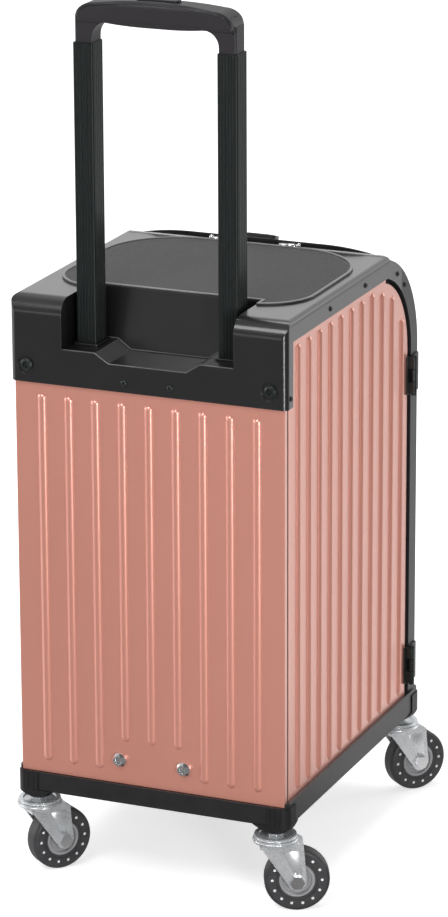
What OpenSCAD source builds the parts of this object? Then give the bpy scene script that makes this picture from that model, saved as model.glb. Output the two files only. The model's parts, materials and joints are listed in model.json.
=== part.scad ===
// Upright trolley case: a ribbed aluminium body between a moulded top cover and a
// base frame, with a curved front door, a two-tube pull-out handle and four casters.
// The origin lies on the floor below the body. +Z is up and the door faces -Y.

/* [Body] */
// Width of the aluminium body over its side panels
body_w = 270; // [240:2:320]
// Distance from the back panel's face to the face that the door closes on
body_d = 322; // [300:2:380]
// Distance from the origin back to the back panel's face
back_y = 162; // [150:1:190]
// Height of the base frame's underside over the floor
base_z = 87; // [82:1:100]
// Height from the base frame's underside to the flat top
case_h = 487.5; // [440:0.5:560]
// Thickness of the body sheets
sheet_t = 1.5; // [1:0.1:2]
// Width of the back panel's folds at its side edges
fold_w = 6; // [4:0.5:8]
// Gap between the back panel's folds and the side panels, closed by a strip
corner_gap = 3; // [1:0.1:4]
// Thickness of the inner lining
lining_t = 1.2; // [0.8:0.1:2]
// Depth of the frame round the opening
sill_t = 9; // [7:0.5:14]
// Distance from the body's side to the inner edge of the frame round the opening
sill_w = 14; // [12:0.5:20]
// Height of the cross bar behind the cover's front wall
cross_bar_h = 18; // [12:1:24]

/* [Pressed ribs] */
// Distance between neighbouring ribs on the back and the door
rib_pitch = 27; // [24:0.5:32]
// Distance between neighbouring ribs on the sides
side_rib_pitch = 26.8; // [24:0.1:27]
// Width of a rib at its foot
rib_w = 9; // [5:0.5:10]
// Height of a rib over the sheet
rib_h = 2.5; // [1:0.25:3]
// Distance from the back panel's face to the first side rib
side_rib_inset = 33; // [22:1:38]
// Clear sheet between the top trim and the ribs' upper ends
rib_top_gap = 6.5; // [5.5:0.5:14]
// Clear sheet between the front curve's edge and the last ribs
rib_curve_gap = 8; // [8:1:24]
// Clear sheet below the outer back ribs
rib_low_gap = 12; // [8:1:20]
// Extra clear sheet below the three middle back ribs, where the bolts are
rib_bolt_gap = 30.5; // [26:0.5:40]

/* [Base frame] */
// Height of the back rail
rail_h = 19; // [16:1:26]
// Extra height of the side rails
side_rail_extra = 4; // [2:0.5:8]
// How far the rails stand out from the body sheets
rail_proud = 3.5; // [3.3:0.1:5]
// Corner radius of the base frame
rail_corner_r = 8; // [5:1:12]
// Width of the frame's bottom flange
flange_w = 24; // [18:1:30]
// Thickness of the frame's bottom flange
flange_t = 2.5; // [2:0.25:4]
// Thickness of the floor board
floor_t = 6; // [4:0.5:9]
// Wall thickness of the hollow front rail
rail_wall = 4; // [3:0.5:6]
// Width of the slot behind the side rails' rear ends
rail_end = 10; // [8:1:14]
// How far the corner castings stand out from the rails
casting_proud = 1.2; // [1:0.1:1.6]
// Length of a corner casting along each rail
casting_w = 22; // [20:1:28]
// Radius of a corner casting's cone where it meets the base frame
casting_r = 22; // [21:0.5:24]
// Radius of the cone's lower end, round the caster's stem
neck_r = 10.5; // [9:0.5:12]

/* [Top cover] */
// Height of the cover's trim along the sides
trim_h = 20; // [16:1:26]
// Height of the cover's skirt at the back
skirt_h = 81.5; // [74:0.5:96]
// Depth of the upright flange behind the side panels
skirt_side = 12; // [8:1:18]
// Wall thickness of the cover
cover_t = 2.5; // [2:0.25:3]
// Radius of the cover's top back edge
cover_back_r = 16; // [10:1:22]
// Radius of the cover's top side edges
cover_side_r = 5; // [3:1:8]
// Radius of the cover's upright back edges
cover_plan_r = 6; // [4:1:9]
// Width of the handle's recess in the cover
recess_w = 172; // [170:1:190]
// Depth of the recess's floor under the flat top
recess_drop = 47; // [40:1:60]
// Extra depth in the middle of the recess's floor
recess_step = 9; // [6:1:12]
// Width of the deep part of the recess at its floor
recess_mid_w = 78; // [60:2:90]
// Width of the slopes beside the deep part of the recess
recess_bevel = 14; // [8:1:20]
// Distance from the back panel's face forward to the recess's rim
recess_in = 62; // [58:1:72]
// How far the recess's inner wall slopes back on its way down
recess_slope = 12; // [6:1:14]
// Distance of the skirt's middle screws from the middle
skirt_screw_x = 23; // [12:1:60]
// Distances from the back panel's face forward to the side strips' screws
strip_screws = [103.5, 193.5]; // [60:0.5:230]
// Distance of the two large cover screws from the middle
screw_x = 122; // [110:1:124]
// Depth of the large cover screws under the flat top
screw_drop = 65; // [58:1:68]
// Diameter of the wells round the large cover screws
screw_well_d = 18; // [14:1:20]
// Depth of the wells round the large cover screws
screw_well_t = 1.6; // [1:0.1:2]
// Diameter of the large cover screws' heads
cover_screw_d = 12; // [9:0.5:13]
// Depth of the skirt's middle screws under the recess's floor
skirt_screw_down = 25.5; // [20:0.5:30]
// Diameter of the skirt's middle screws' heads
skirt_screw_d = 6; // [5:0.5:8]
// Depth of the screws through the skirt's side flanges under the flat top
flange_screw_drop = 72; // [60:1:76]
// Diameter of the small screws' heads on the sides
side_screw_d = 5; // [4:0.5:6]
// Thickness of the anti-slip mat
mat_t = 1.1; // [1:0.1:3]
// Half the width of the anti-slip mat
mat_half_w = 126; // [100:1:128]
// Distance from the mat's front edge to the cover's front edge
mat_front_gap = 5; // [3:1:12]
// Radius of the mat's front corners
mat_front_r = 75; // [40:1:90]
// Radius of the mat's back corners
mat_back_r = 50; // [30:1:60]
// How far the mat reaches back beside the recess
mat_beside = 15; // [0:1:24]

/* [Door] */
// Radius of the door's outline at the top front corner, seen from the side
front_r = 106; // [90:1:120]
// Height from the flat top down to the curve's centre
curve_drop = 106.5; // [100:0.5:130]
// Thickness of the door at its side edges
door_t = 18; // [14:1:24]
// Gap between the case's opening and the door, filled by the gasket
door_gap = 4.5; // [2:0.5:5]
// Width of the gasket
gasket_w = 7; // [5:0.5:8]
// Distance from the body's side to the gasket
gasket_in = 4; // [3:0.5:5]
// Distance from the curve's centre forward to the door's top seam
seam_y_in = 25; // [18:1:34]
// Distance from the curve's centre forward to the joint in the door's side rim
rim_joint_in = 61; // [50:1:70]
// How far the middle of the door stands out over its side edges
crown_h = 9; // [4:0.5:10]
// Half the width of the door's flat middle
crown_flat = 70; // [50:1:90]
// Width of the rim along the door's side edges
rim_w = 9; // [7:0.5:14]
// Wall thickness of the door's moulded cap
cap_t = 3; // [2:0.25:4]
// Length of the cap's skirt below the curve
cap_skirt = 14; // [8:1:30]
// Height of the door's bottom bar
door_bar_h = 13; // [10:1:20]
// Distance from the seam forward to the screw in the cap's flange
cap_screw_in = 24; // [16:1:28]
// Distance from the seam forward to the upper screw in the side rim
rim_screw_in = 44; // [42:1:56]
// Gap between the door and the front rail
door_low_gap = 2; // [1.5:0.25:4]

/* [Hinges and catch] */
// Height of a hinge
hinge_h = 38; // [36:1:60]
// Diameter of a hinge pin
hinge_pin_d = 3; // [2.5:0.25:4]
// Diameter of a hinge barrel
hinge_barrel_d = 6; // [6:0.25:9]
// Thickness of a hinge leaf
leaf_t = 1.6; // [1.2:0.1:2]
// Width of the hinge leaves on the case
leaf_w = 5; // [4:0.5:18]
// Height of the lower hinge's middle over the side rails
hinge_low_up = 31; // [26:1:60]
// Depth of the upper hinge's middle under the start of the front curve
hinge_high_down = 27; // [24:1:80]
// Width of the catch's housing on the door's cap
catch_w = 34; // [32:1:60]
// Depth of the catch's housing across the seam
catch_d = 17; // [15:0.5:20]
// Height of the catch's housing over the cap
catch_h = 3.5; // [3.5:0.5:6]
// Width of the catch's tongue
tongue_w = 16; // [12:1:24]
// Width of the catch's slider along the seam
slider_w = 22; // [16:1:24]
// Distance from the seam forward to the middle of the catch
catch_in = 12; // [10:0.5:16]
// Depth of the catch's tongue under the flat top
tongue_drop = 12; // [9:0.5:14]
// Travel of the catch's tongue
tongue_travel = 5; // [3:0.5:6]

/* [Handle] */
// Distance between the handle tubes' centres
tube_pitch = 142; // [136:1:143]
// Width of a handle tube
tube_w = 20; // [16:1:20]
// Depth of a handle tube
tube_d = 24; // [20:1:26]
// Wall thickness of a handle tube
tube_t = 1.5; // [1.2:0.1:2]
// Corner radius of a handle tube
tube_r = 2.2; // [1.5:0.1:3]
// Distance from the back panel's face to the tubes' centres
tube_in = 32; // [30:1:36]
// Length of handle tube that shows when the handle is pulled out
tube_shown = 284; // [240:1:300]
// Length of handle tube that stays in its guide
tube_kept = 62; // [50:1:90]
// Width of the fine grooves up the handle tubes
groove_w = 0.8; // [0.4:0.1:1.2]
// Distance between the grooves on a tube's back face
groove_pitch = 3; // [2:0.25:3]
// Running gap between a handle tube and its guide
tube_gap = 0.3; // [0.2:0.05:0.4]
// Wall thickness of a guide tube
guide_t = 1.7; // [1.4:0.1:2.2]
// Height of the collars where the tubes enter the cover
collar_h = 2; // [1.5:0.25:3.5]
// How far a collar stands out round its guide tube
collar_lip = 1.2; // [0.8:0.1:1.6]
// Depth of the grip
grip_d = 26; // [24:1:32]
// Height from the tubes' upper ends to the grip's shoulders
grip_h = 38; // [36:1:46]
// Crown of the grip's top
grip_crown = 4; // [2:0.5:6]
// Height of the grip's bar at its ends
grip_bar_h = 18; // [17.5:0.5:20]
// How far the bar's underside bellies down in the middle
grip_belly = 3; // [1:0.5:5]
// Corner radius of the grip's outline
grip_r = 19; // [14:1:20]
// Radius of the fillets between the grip's legs and its bar
grip_fillet = 15; // [8:1:16]
// Radius of the bar's long edges
grip_edge_r = 7; // [4:0.5:9]
// Radius of the bar's upright edges
grip_end_r = 6; // [4:0.5:9]
// Length of the grip's legs inside the tubes
grip_leg = 24; // [16:1:40]
// Length of the push button
button_l = 42; // [36:1:60]
// Width of the push button
button_w = 12; // [10:0.5:14]
// How far the push button stands out of the grip
button_proud = 1.8; // [1:0.1:3]
// Travel of the push button
button_travel = 3; // [2:0.25:4]

// Height of the bracket that holds the guide tubes' feet
foot_h = 30; // [24:1:40]
// Gap between the back rail and the feet's bracket
foot_gap = 10; // [6:1:14]
// Distance of the two rear bolts from the middle
rear_bolt_x = 33; // [28:1:38]
// Height of the rear bolts over the back rail
rear_bolt_up = 24; // [20:1:30]
// Diameter of the rear bolts' heads
rear_bolt_d = 14; // [10:0.5:15]
// Height of the rear bolts' heads
rear_bolt_h = 5; // [3:0.5:6]
// Diameter of the rear bolts' shanks
rear_shank_d = 6; // [5:0.5:8]
// Length of the rear bolts' shanks
rear_shank_l = 14; // [10:0.5:18]
// Diameter of the lock pins
lock_d = 5; // [4:0.5:6]
// Length of a lock pin with its travel
pin_l = 13; // [11:0.5:15]
// Length of the plugs in the tubes' lower ends
plug_l = 22; // [18:1:30]
// Thickness of the plugs' feet under the tubes
plug_foot = 2.5; // [1.5:0.25:4]

/* [Casters] */
// Diameter of a caster wheel
wheel_d = 62; // [56:1:62]
// Width of a caster wheel
wheel_w = 18; // [16:1:24]
// Diameter of a wheel's hub
hub_d = 34; // [28:1:40]
// Number of dots on a tyre's side
dots = 14; // [8:1:18]
// Diameter of a tyre's dots
dot_d = 3.4; // [2:0.2:4]
// Distance from the hub's edge to the dots' circle
dot_out = 6.5; // [5:0.5:7]
// Distance from a caster's swivel axis to its axle
trail = 20; // [19:1:28]
// Diameter of a caster's swivel rings
ring_d = 40; // [36:1:44]
// Distance from a caster's swivel axis to the body's side
caster_in_x = 13; // [12:1:24]
// Distance from a rear caster's swivel axis to the back panel's face
caster_in_y = 9; // [9:1:24]
// Distance from the front rail's face to the front swivel axes
caster_front_in = 16; // [13:0.5:20]
// Diameter of an axle
axle_d = 8; // [6:0.5:10]
// Diameter of a caster's stem
stem_d = 10; // [8:0.5:12]
// Depth of the stem's foot under the fork's top
stem_foot = 12; // [11:0.5:14]
// Height of the sockets below the base frame
socket_h = 11; // [8:1:14]
// Height of the nut that shows between a socket and its ring
nut_show = 2.5; // [1.5:0.25:4]
// Thickness of a fork's legs
fork_t = 2.2; // [1.6:0.1:3]
// Gap between a wheel and its fork's legs
fork_gap = 1.8; // [1.2:0.1:3]
// Distance from the swivel axis to the fork's end over the wheel
fork_reach = 26; // [24:0.5:28]
// Direction of each caster's wheel at rest, seen from above
headings = [233, 205, 230, 240]; // [0:1:360]

// Thickness of the rings that carry the casters
mount_t = 2.7; // [2:0.1:4]

/* [Hidden] */
$fn = 72;

// Gap between flat faces that touch but can be taken apart
seat_gap = 0.2;
// Gap between pieces that move past each other
move_gap = 0.5;
// Radial clearance of a shaft in its hole
shaft_gap = 0.05;
// Clearance of a sheet in the slot that takes its edge
slot_gap = 0.3;
// How far the corner strips lie below the side panels' faces
strip_in = 0.4;

top_z = base_z + case_h;
half_w = body_w / 2;
close_y = back_y - body_d;
rail_top = base_z + rail_h;
side_rail_top = rail_top + side_rail_extra;
curve_y = close_y - door_t + front_r;
curve_z = top_z - curve_drop;
door_in_r = front_r - door_t;
open_r = door_in_r - door_gap;
open_y = curve_y - open_r;
seam_y = curve_y - seam_y_in;
mid_r = front_r + crown_h;
door_half_w = half_w + 2;
cover_half_w = half_w + rail_proud;
cover_back_y = back_y + rail_proud - 0.5;
crown_r = arc_r(door_half_w - crown_flat, crown_h);
door_low_z = side_rail_top + door_low_gap;
front_rail_y = curve_y - mid_r;
recess_z = top_z - recess_drop;
tube_y = back_y - tube_in;
tube_x = tube_pitch / 2;
tube_top = recess_z + tube_shown;
tube_low = recess_z - tube_kept;
guide_w = tube_w + 2 * (tube_gap + guide_t);
guide_d = tube_d + 2 * (tube_gap + guide_t);
foot_z = rail_top + foot_gap;
guide_low = foot_z + 8;
handle_travel = tube_shown - 4;
grip_z = tube_top + grip_h;
caster_x = half_w - caster_in_x;
caster_ys = [back_y - caster_in_y, front_rail_y + caster_front_in];
socket_z = base_z - socket_h;
fork_top = socket_z - mount_t - 0.3;
axle_z = wheel_d / 2;
rear_bolt_z = rail_top + rear_bolt_up;
hinge_x = -(door_half_w + 1 + hinge_barrel_d / 2);
hinge_y = close_y + 1.5;
catch_y = seam_y - catch_in;
lock_z = tube_low + 11;
cover_screw_z = top_z - screw_drop;
tongue_z = top_z - tongue_drop;
tongue_t = 3;
slide_gap = 0.2;
groove_in = 1.5;
pocket_y = catch_d / 2 - 1.3;
slider_low = seat_gap + catch_h * 0.26;
slider_lip = seat_gap + catch_h - 1;
slider_d = 2 * pocket_y - tongue_travel - 2 * slide_gap;
well_z = grip_z - 9;
link_top = well_z + button_travel + 0.3;
spring_low = well_z - 7;
rod_d = 4;
rod_in = 6.5;
button_gap = 0.4;
link_t = 3;
spring_top = link_top - link_t;
spring_wire = 0.9;
leg_gap = 0.1;
leg_w = tube_w - 2 * tube_t - 2 * leg_gap;
leg_d = tube_d - 2 * tube_t - 2 * leg_gap;
grip_w = tube_pitch + leg_w;
belly_half = tube_x - leg_w / 2 - grip_fillet;

// Radius of the arc that rises a height over half a chord
function arc_r(half, rise) = (half * half + rise * rise) / (2 * rise);

// A flat drawing of Y and Z, drawn out along X about the middle
module along_x(w) {
    translate([-w / 2, 0, 0]) rotate([90, 0, 90]) linear_extrude(w) children();
}

// A flat drawing of X and Z, drawn out along Y between two places
module along_y(y0, y1) {
    translate([0, y1, 0]) rotate([90, 0, 0]) linear_extrude(y1 - y0) children();
}

module round_rect(w, h, r) {
    square([w - 2 * r, h], center = true);
    square([w, h - 2 * r], center = true);
    for (x = [-1, 1], y = [-1, 1]) translate([x * (w / 2 - r), y * (h / 2 - r)]) circle(r);
}

module block(x0, x1, y0, y1, z0, z1) {
    translate([x0, y0, z0]) cube([x1 - x0, y1 - y0, z1 - z0]);
}

// A drawing of [distance from the curve's centre, X] that follows the front outline
// round the top corner and down to a height
module follow_front(low_z) {
    translate([0, curve_y, curve_z]) rotate([0, 90, 0]) rotate([0, 0, 180])
        rotate_extrude(angle = 90, $fn = 144) children();
    translate([0, curve_y, low_z]) linear_extrude(curve_z - low_z) rotate(-90) children();
}

// How far the door's skin lies below its middle, at a distance from the middle
function crown_drop(x) = abs(x) <= crown_flat ? 0
    : crown_r - sqrt(pow(crown_r, 2) - pow(abs(x) - crown_flat, 2));

// The door's crowned cross-section, inset from its skin, from a least radius
// out and between two distances from the middle
module crown_section(inset, low_r, half) {
    intersection() {
        translate([low_r, -half]) square([mid_r + 5 - low_r, 2 * half]);
        union() {
            translate([0, -crown_flat]) square([mid_r - inset, 2 * crown_flat]);
            for (s = [-1, 1]) translate([mid_r - crown_r, s * crown_flat])
                circle(crown_r - inset, $fn = 360);
        }
    }
}

// A pressed rib that stands up along Z on a sheet facing -Y
module rib(length) {
    r = arc_r(rib_w / 2, rib_h);
    sink = r - rib_h;
    intersection() {
        translate([-rib_w, -rib_h - 1, -rib_w]) cube([2 * rib_w, rib_h + 1, length + 2 * rib_w]);
        translate([0, sink, rib_w / 2]) union() {
            cylinder(r = r, h = length - rib_w, $fn = 36);
            sphere(r, $fn = 36);
            translate([0, 0, length - rib_w]) sphere(r, $fn = 36);
        }
    }
}

module back_panel() {
    z0 = rail_top;
    z1 = top_z - cover_back_r - 2;
    color([0.78, 0.54, 0.46]) {
        difference() {
            union() {
                block(-half_w, half_w, back_y - sheet_t, back_y, z0, z1);
                for (s = [-1, 1]) block(s > 0 ? half_w - sheet_t : -half_w,
                    s > 0 ? half_w : -half_w + sheet_t, back_y - fold_w, back_y, z0, top_z - trim_h);
            }
            block(-recess_w / 2 - cover_t - 1, recess_w / 2 + cover_t + 1, back_y - 9, back_y + 1,
                recess_z - recess_step - cover_t - 2, top_z);
            for (s = [-1, 1]) translate([s * rear_bolt_x, back_y + 1, rear_bolt_z])
                rotate([90, 0, 0]) cylinder(d = rear_shank_d + seat_gap, h = 8);
        }
        for (i = [-4 : 4]) {
            low = z0 + rib_low_gap + (abs(i) <= 1 ? rib_bolt_gap : 0);
            translate([i * rib_pitch, back_y, low]) rotate([0, 0, 180])
                rib(top_z - skirt_h - 10.5 - low);
        }
    }
}

// Outline of a side panel in Y and Z: square behind, curved at the top front
module side_outline(r) {
    z0 = base_z + 5;
    z1 = top_z - cover_t - 2;
    intersection() {
        translate([curve_y - r, z0]) square([back_y - fold_w - corner_gap - curve_y + r, z1 - z0]);
        union() {
            translate([curve_y - r - 1, z0 - 1]) square([body_d + door_t + 2, curve_z - z0 + 1]);
            translate([curve_y, z0 - 1]) square([body_d, z1 - z0 + 2]);
            translate([curve_y, curve_z]) circle(r, $fn = 144);
            translate([seam_y + 2.8, curve_z]) square([seam_y_in, z1 - curve_z]);
        }
    }
}

module side_panel(side) {
    color([0.8, 0.58, 0.5]) {
        translate([side * (half_w - sheet_t / 2), 0, 0]) along_x(sheet_t) side_outline(open_r);
        first = back_y - side_rib_inset;
        low = side_rail_top + 4;
        for (i = [0 : 10]) {
            y = first - i * side_rib_pitch;
            top = y > curve_y ? top_z - trim_h - rib_top_gap
                : min(top_z - trim_h - rib_top_gap,
                      curve_z + sqrt(max(100, pow(open_r - rib_curve_gap, 2) - pow(y - curve_y, 2))));
            if (y > open_y + rib_w) translate([side * half_w, y, low])
                rotate([0, 0, side > 0 ? 90 : -90]) rib(top - low);
        }
    }
}
module side_panel_left() { side_panel(-1); }
module side_panel_right() { side_panel(1); }

// Black strips that close the joints between the back panel and the side panels
module corner_strips() {
    color([0.06, 0.06, 0.06]) for (s = [-1, 1])
        block(s > 0 ? half_w - sheet_t : -half_w + strip_in, s > 0 ? half_w - strip_in : -half_w + sheet_t,
            back_y - fold_w - corner_gap + seat_gap, back_y - fold_w - seat_gap,
            base_z + flange_t + seat_gap, top_z - trim_h);
}

module floor_panel() {
    z0 = base_z + flange_t + seat_gap;
    color([0.2, 0.2, 0.21]) block(-half_w + 5, half_w - 5, open_y + sill_t + seat_gap, back_y - 4,
        z0, z0 + floor_t);
}

// Plan of the base frame's outside, or of a ring about it
module base_plan(grow) {
    x = half_w + rail_proud + grow;
    y0 = front_rail_y - grow;
    y1 = cover_back_y + grow;
    translate([0, (y0 + y1) / 2]) round_rect(2 * x, y1 - y0, rail_corner_r + grow);
}

module base_frame() {
    color([0.09, 0.09, 0.095]) difference() {
        translate([0, 0, base_z]) linear_extrude(rail_h + side_rail_extra) base_plan(0);
        // The body sheets stand inside the rails
        block(-half_w - slot_gap, half_w + slot_gap, open_y - 0.4, back_y + slot_gap,
            base_z + flange_t, side_rail_top + 1);
        // The opening inside the bottom flange
        block(-half_w + flange_w, half_w - flange_w, open_y + flange_w, back_y - flange_w,
            base_z - 1, side_rail_top);
        // The back rail is lower than the side rails
        block(-half_w - slot_gap, half_w + slot_gap, back_y - rail_end, cover_back_y + 5,
            rail_top - slot_gap, side_rail_top + 1);
        // The front rail is hollow below, between the casters
        block(-caster_x + casting_r, caster_x - casting_r, front_rail_y + rail_wall,
            open_y - rail_wall - 1, base_z - 1, rail_top);
        for (sx = [-1, 1], sy = [0, 1])
            translate([sx * caster_x, caster_ys[sy], base_z - 1])
                cylinder(d = stem_d + 1, h = flange_t + 2);
    }
}

module base_corners() {
    grooves = [8, 13, 18];
    neck_z = socket_z + nut_show;
    color([0.07, 0.07, 0.075]) for (sx = [-1, 1], sy = [-1, 1]) {
        cx = sx * caster_x;
        cy = caster_ys[sy > 0 ? 0 : 1];
        edge_x = sx * (half_w + rail_proud + casting_proud);
        edge_y = sy > 0 ? cover_back_y + casting_proud : front_rail_y - casting_proud;
        difference() {
            union() {
                intersection() {
                    translate([0, 0, base_z - 1]) linear_extrude(rail_h) base_plan(casting_proud);
                    translate([edge_x - sx * casting_w / 2, edge_y - sy * casting_w / 2, base_z])
                        cube([casting_w, casting_w, 3 * rail_h], center = true);
                }
                intersection() {
                    translate([0, 0, neck_z]) linear_extrude(base_z - neck_z) base_plan(casting_proud);
                    translate([cx, cy, neck_z])
                        cylinder(r1 = neck_r, r2 = casting_r, h = base_z - neck_z);
                }
            }
            translate([0, 0, base_z - seat_gap]) linear_extrude(rail_h + 10) base_plan(seat_gap);
            translate([cx, cy, socket_z - 1]) cylinder(d = stem_d + 2 * shaft_gap, h = socket_h + 2);
            if (sy > 0) for (g = grooves) {
                translate([edge_x, edge_y - sy * g, base_z + rail_h / 2])
                    cube([0.8, 1.2, rail_h], center = true);
                translate([edge_x - sx * g, edge_y, base_z + rail_h / 2])
                    cube([1.2, 0.8, rail_h], center = true);
            }
        }
    }
}

// The cover's outer block, or the same block inset all round
module cover_block(inset) {
    x = cover_half_w - inset;
    y1 = cover_back_y - inset;
    z1 = top_z - inset;
    z0 = top_z - skirt_h - 5;
    rb = max(1, cover_back_r - inset);
    rs = max(1, cover_side_r - inset);
    intersection() {
        along_x(2 * x + 2) union() {
            translate([seam_y + (inset > 0 ? inset : 0), z0]) square([y1 - rb - seam_y - inset, z1 - z0]);
            translate([seam_y + (inset > 0 ? inset : 0), z0]) square([y1 - seam_y - inset, z1 - rb - z0]);
            translate([y1 - rb, z1 - rb]) circle(rb);
        }
        along_y(seam_y - 5, y1 + 5) union() {
            translate([-x + rs, z0]) square([2 * x - 2 * rs, z1 - z0]);
            translate([-x, z0]) square([2 * x, z1 - rs - z0]);
            for (s = [-1, 1]) translate([s * (x - rs), z1 - rs]) circle(rs);
        }
        translate([0, 0, z0]) linear_extrude(z1 - z0) union() {
            translate([-x + cover_plan_r, seam_y - 5])
                square([2 * (x - cover_plan_r), y1 - seam_y + 5]);
            translate([-x, seam_y - 5]) square([2 * x, y1 - cover_plan_r - seam_y + 5]);
            for (s = [-1, 1]) translate([s * (x - cover_plan_r), y1 - cover_plan_r]) circle(cover_plan_r);
        }
    }
}

// The space of the handle's recess, or the same space with its walls
module recess_space(wall) {
    y0 = back_y - recess_in;
    z1 = recess_z - wall;
    z2 = recess_z - recess_step - wall;
    mid = recess_mid_w / 2 + wall;
    half = recess_w / 2 + wall;
    intersection() {
        along_x(recess_w + 40) polygon([
            [y0 - wall, top_z + 5], [y0 - wall, top_z], [y0 - wall + recess_slope, z2],
            [cover_back_y + 10, z2 - 1], [cover_back_y + 10, top_z + 5]]);
        along_y(y0 - 20, cover_back_y + 8) polygon([
            [-half, top_z + 5], [-half, z1], [-mid - recess_bevel, z1], [-mid, z2],
            [mid, z2], [mid + recess_bevel, z1], [half, z1], [half, top_z + 5]]);
    }
}

module top_cover() {
    front = seam_y + cover_t;
    color([0.12, 0.12, 0.125]) difference() {
        union() {
            difference() {
                cover_block(0);
                difference() {
                    cover_block(cover_t);
                    // The tub of the recess hangs inside the cover
                    recess_space(cover_t);
                }
                // The underside is open and the sides end at the trim
                block(-cover_half_w - 1, cover_half_w + 1, seam_y - 1, back_y - skirt_side,
                    top_z - skirt_h - 20, top_z - trim_h);
                block(-cover_half_w - 1, cover_half_w + 1, back_y - skirt_side - 1, cover_back_y + 1,
                    top_z - skirt_h - 20, top_z - skirt_h);
                // The back skirt lies outside the back and side panels
                block(-half_w - slot_gap, half_w + slot_gap, back_y - skirt_side - 1, back_y + slot_gap,
                    top_z - skirt_h - 1, recess_z - recess_step - cover_t - 3);
            }
            // Walls of the recess between the panel line and the cover's underside
            intersection() {
                recess_space(cover_t);
                cover_block(0);
            }
        }
        recess_space(0);
        // The side panels and the back panel's folds end inside the cover
        for (s = [-1, 1]) {
            block(s > 0 ? half_w - sheet_t - slot_gap : -half_w - slot_gap,
                s > 0 ? half_w + slot_gap : -half_w + sheet_t + slot_gap, front, back_y - fold_w,
                top_z - skirt_h - 1, top_z - cover_t - 1.5);
            block(s > 0 ? half_w - fold_w : -half_w - slot_gap, s > 0 ? half_w + slot_gap : -half_w + fold_w,
                back_y - fold_w - slot_gap, back_y + slot_gap, top_z - skirt_h - 1,
                top_z - cover_back_r - 1.5);
        }
        // Holes for the guide tubes, the tongue and the screws
        for (s = [-1, 1]) {
            translate([s * tube_x, tube_y, recess_z - 20]) linear_extrude(60)
                round_rect(guide_w + 0.6, guide_d + 0.6, 3.5);
            translate([s * screw_x, cover_back_y + 1, cover_screw_z])
                rotate([90, 0, 0]) cylinder(d = screw_well_d, h = screw_well_t + 1);
        }
        block(-tongue_w / 2 - 6, tongue_w / 2 + 6, seam_y - 1, seam_y + 14, tongue_z - 0.6,
            tongue_z + tongue_t + 0.6);
    }
}

// The mat's corners are rounder at the front, and its back edge goes round the recess
module top_mat() {
    y0 = seam_y + mat_front_gap;
    y1 = back_y - recess_in - 1;
    y2 = y1 + mat_beside;
    middle = y2 - mat_back_r - 1;
    color([0.2, 0.2, 0.205]) translate([0, 0, top_z]) linear_extrude(mat_t) difference() {
        union() {
            intersection() {
                translate([0, y0 + mat_half_w]) round_rect(2 * mat_half_w, 2 * mat_half_w, mat_front_r);
                translate([-mat_half_w, y0]) square([2 * mat_half_w, middle - y0]);
            }
            intersection() {
                translate([0, y2 - mat_half_w]) round_rect(2 * mat_half_w, 2 * mat_half_w, mat_back_r);
                translate([-mat_half_w, middle]) square([2 * mat_half_w, y2 - middle]);
            }
        }
        translate([-recess_w / 2 - 1, y1]) square([recess_w + 2, mat_half_w]);
    }
}

module star_screw(d, h) {
    difference() {
        union() {
            cylinder(d = d, h = h * 0.5);
            translate([0, 0, h * 0.5]) cylinder(d1 = d, d2 = d * 0.7, h = h * 0.5);
        }
        for (a = [0 : 60 : 120]) rotate([0, 0, a])
            translate([0, 0, h]) cube([d * 0.5, d * 0.16, h], center = true);
    }
}

module cover_screws() {
    color([0.1, 0.1, 0.1]) for (s = [-1, 1])
        translate([s * screw_x, cover_back_y - screw_well_t + 0.1, cover_screw_z]) rotate([-90, 0, 0])
            star_screw(cover_screw_d, cover_screw_d * 0.28);
}

// A small screw on an upright face at a distance from the middle
module side_screw(side, face_x, y, z) {
    translate([side * (face_x + 0.1), y, z]) rotate([0, side * 90, 0])
        star_screw(side_screw_d, side_screw_d * 0.24);
}

module trim_screws() {
    color([0.08, 0.08, 0.08]) {
        for (s = [-1, 1]) {
            translate([s * skirt_screw_x, cover_back_y + 0.1, recess_z - skirt_screw_down])
                rotate([-90, 0, 0]) star_screw(skirt_screw_d, skirt_screw_d * 0.24);
            side_screw(s, cover_half_w, back_y - skirt_side / 2, top_z - flange_screw_drop);
            for (d = strip_screws) side_screw(s, cover_half_w, back_y - d, top_z - trim_h * 0.6);
        }
    }
}

module rear_bolts() {
    color([0.82, 0.82, 0.84]) for (s = [-1, 1]) translate([s * rear_bolt_x, back_y, rear_bolt_z])
        rotate([-90, 0, 0]) {
            translate([0, 0, 0.1]) star_screw(rear_bolt_d, rear_bolt_h);
            translate([0, 0, -rear_shank_l]) cylinder(d = rear_shank_d, h = rear_shank_l + 0.2);
        }
}

module handle_foot() {
    y0 = tube_y - guide_d / 2 - 4;
    y1 = back_y - sheet_t - seat_gap;
    color([0.1, 0.1, 0.1]) difference() {
        block(-tube_x - guide_w / 2 - 5, tube_x + guide_w / 2 + 5, y0, y1, foot_z, foot_z + foot_h);
        for (s = [-1, 1]) {
            translate([s * tube_x, tube_y, guide_low]) linear_extrude(foot_h)
                round_rect(guide_w + 0.2, guide_d + 0.2, 3.6);
            translate([s * rear_bolt_x, back_y, rear_bolt_z]) rotate([90, 0, 0])
                cylinder(d = rear_shank_d + 2 * shaft_gap, h = rear_shank_l + 2);
        }
        block(-tube_x + guide_w / 2 + 4, tube_x - guide_w / 2 - 4, y0 - 1, y0 + 12,
            foot_z + 4, foot_z + foot_h + 1);
    }
}

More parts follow.
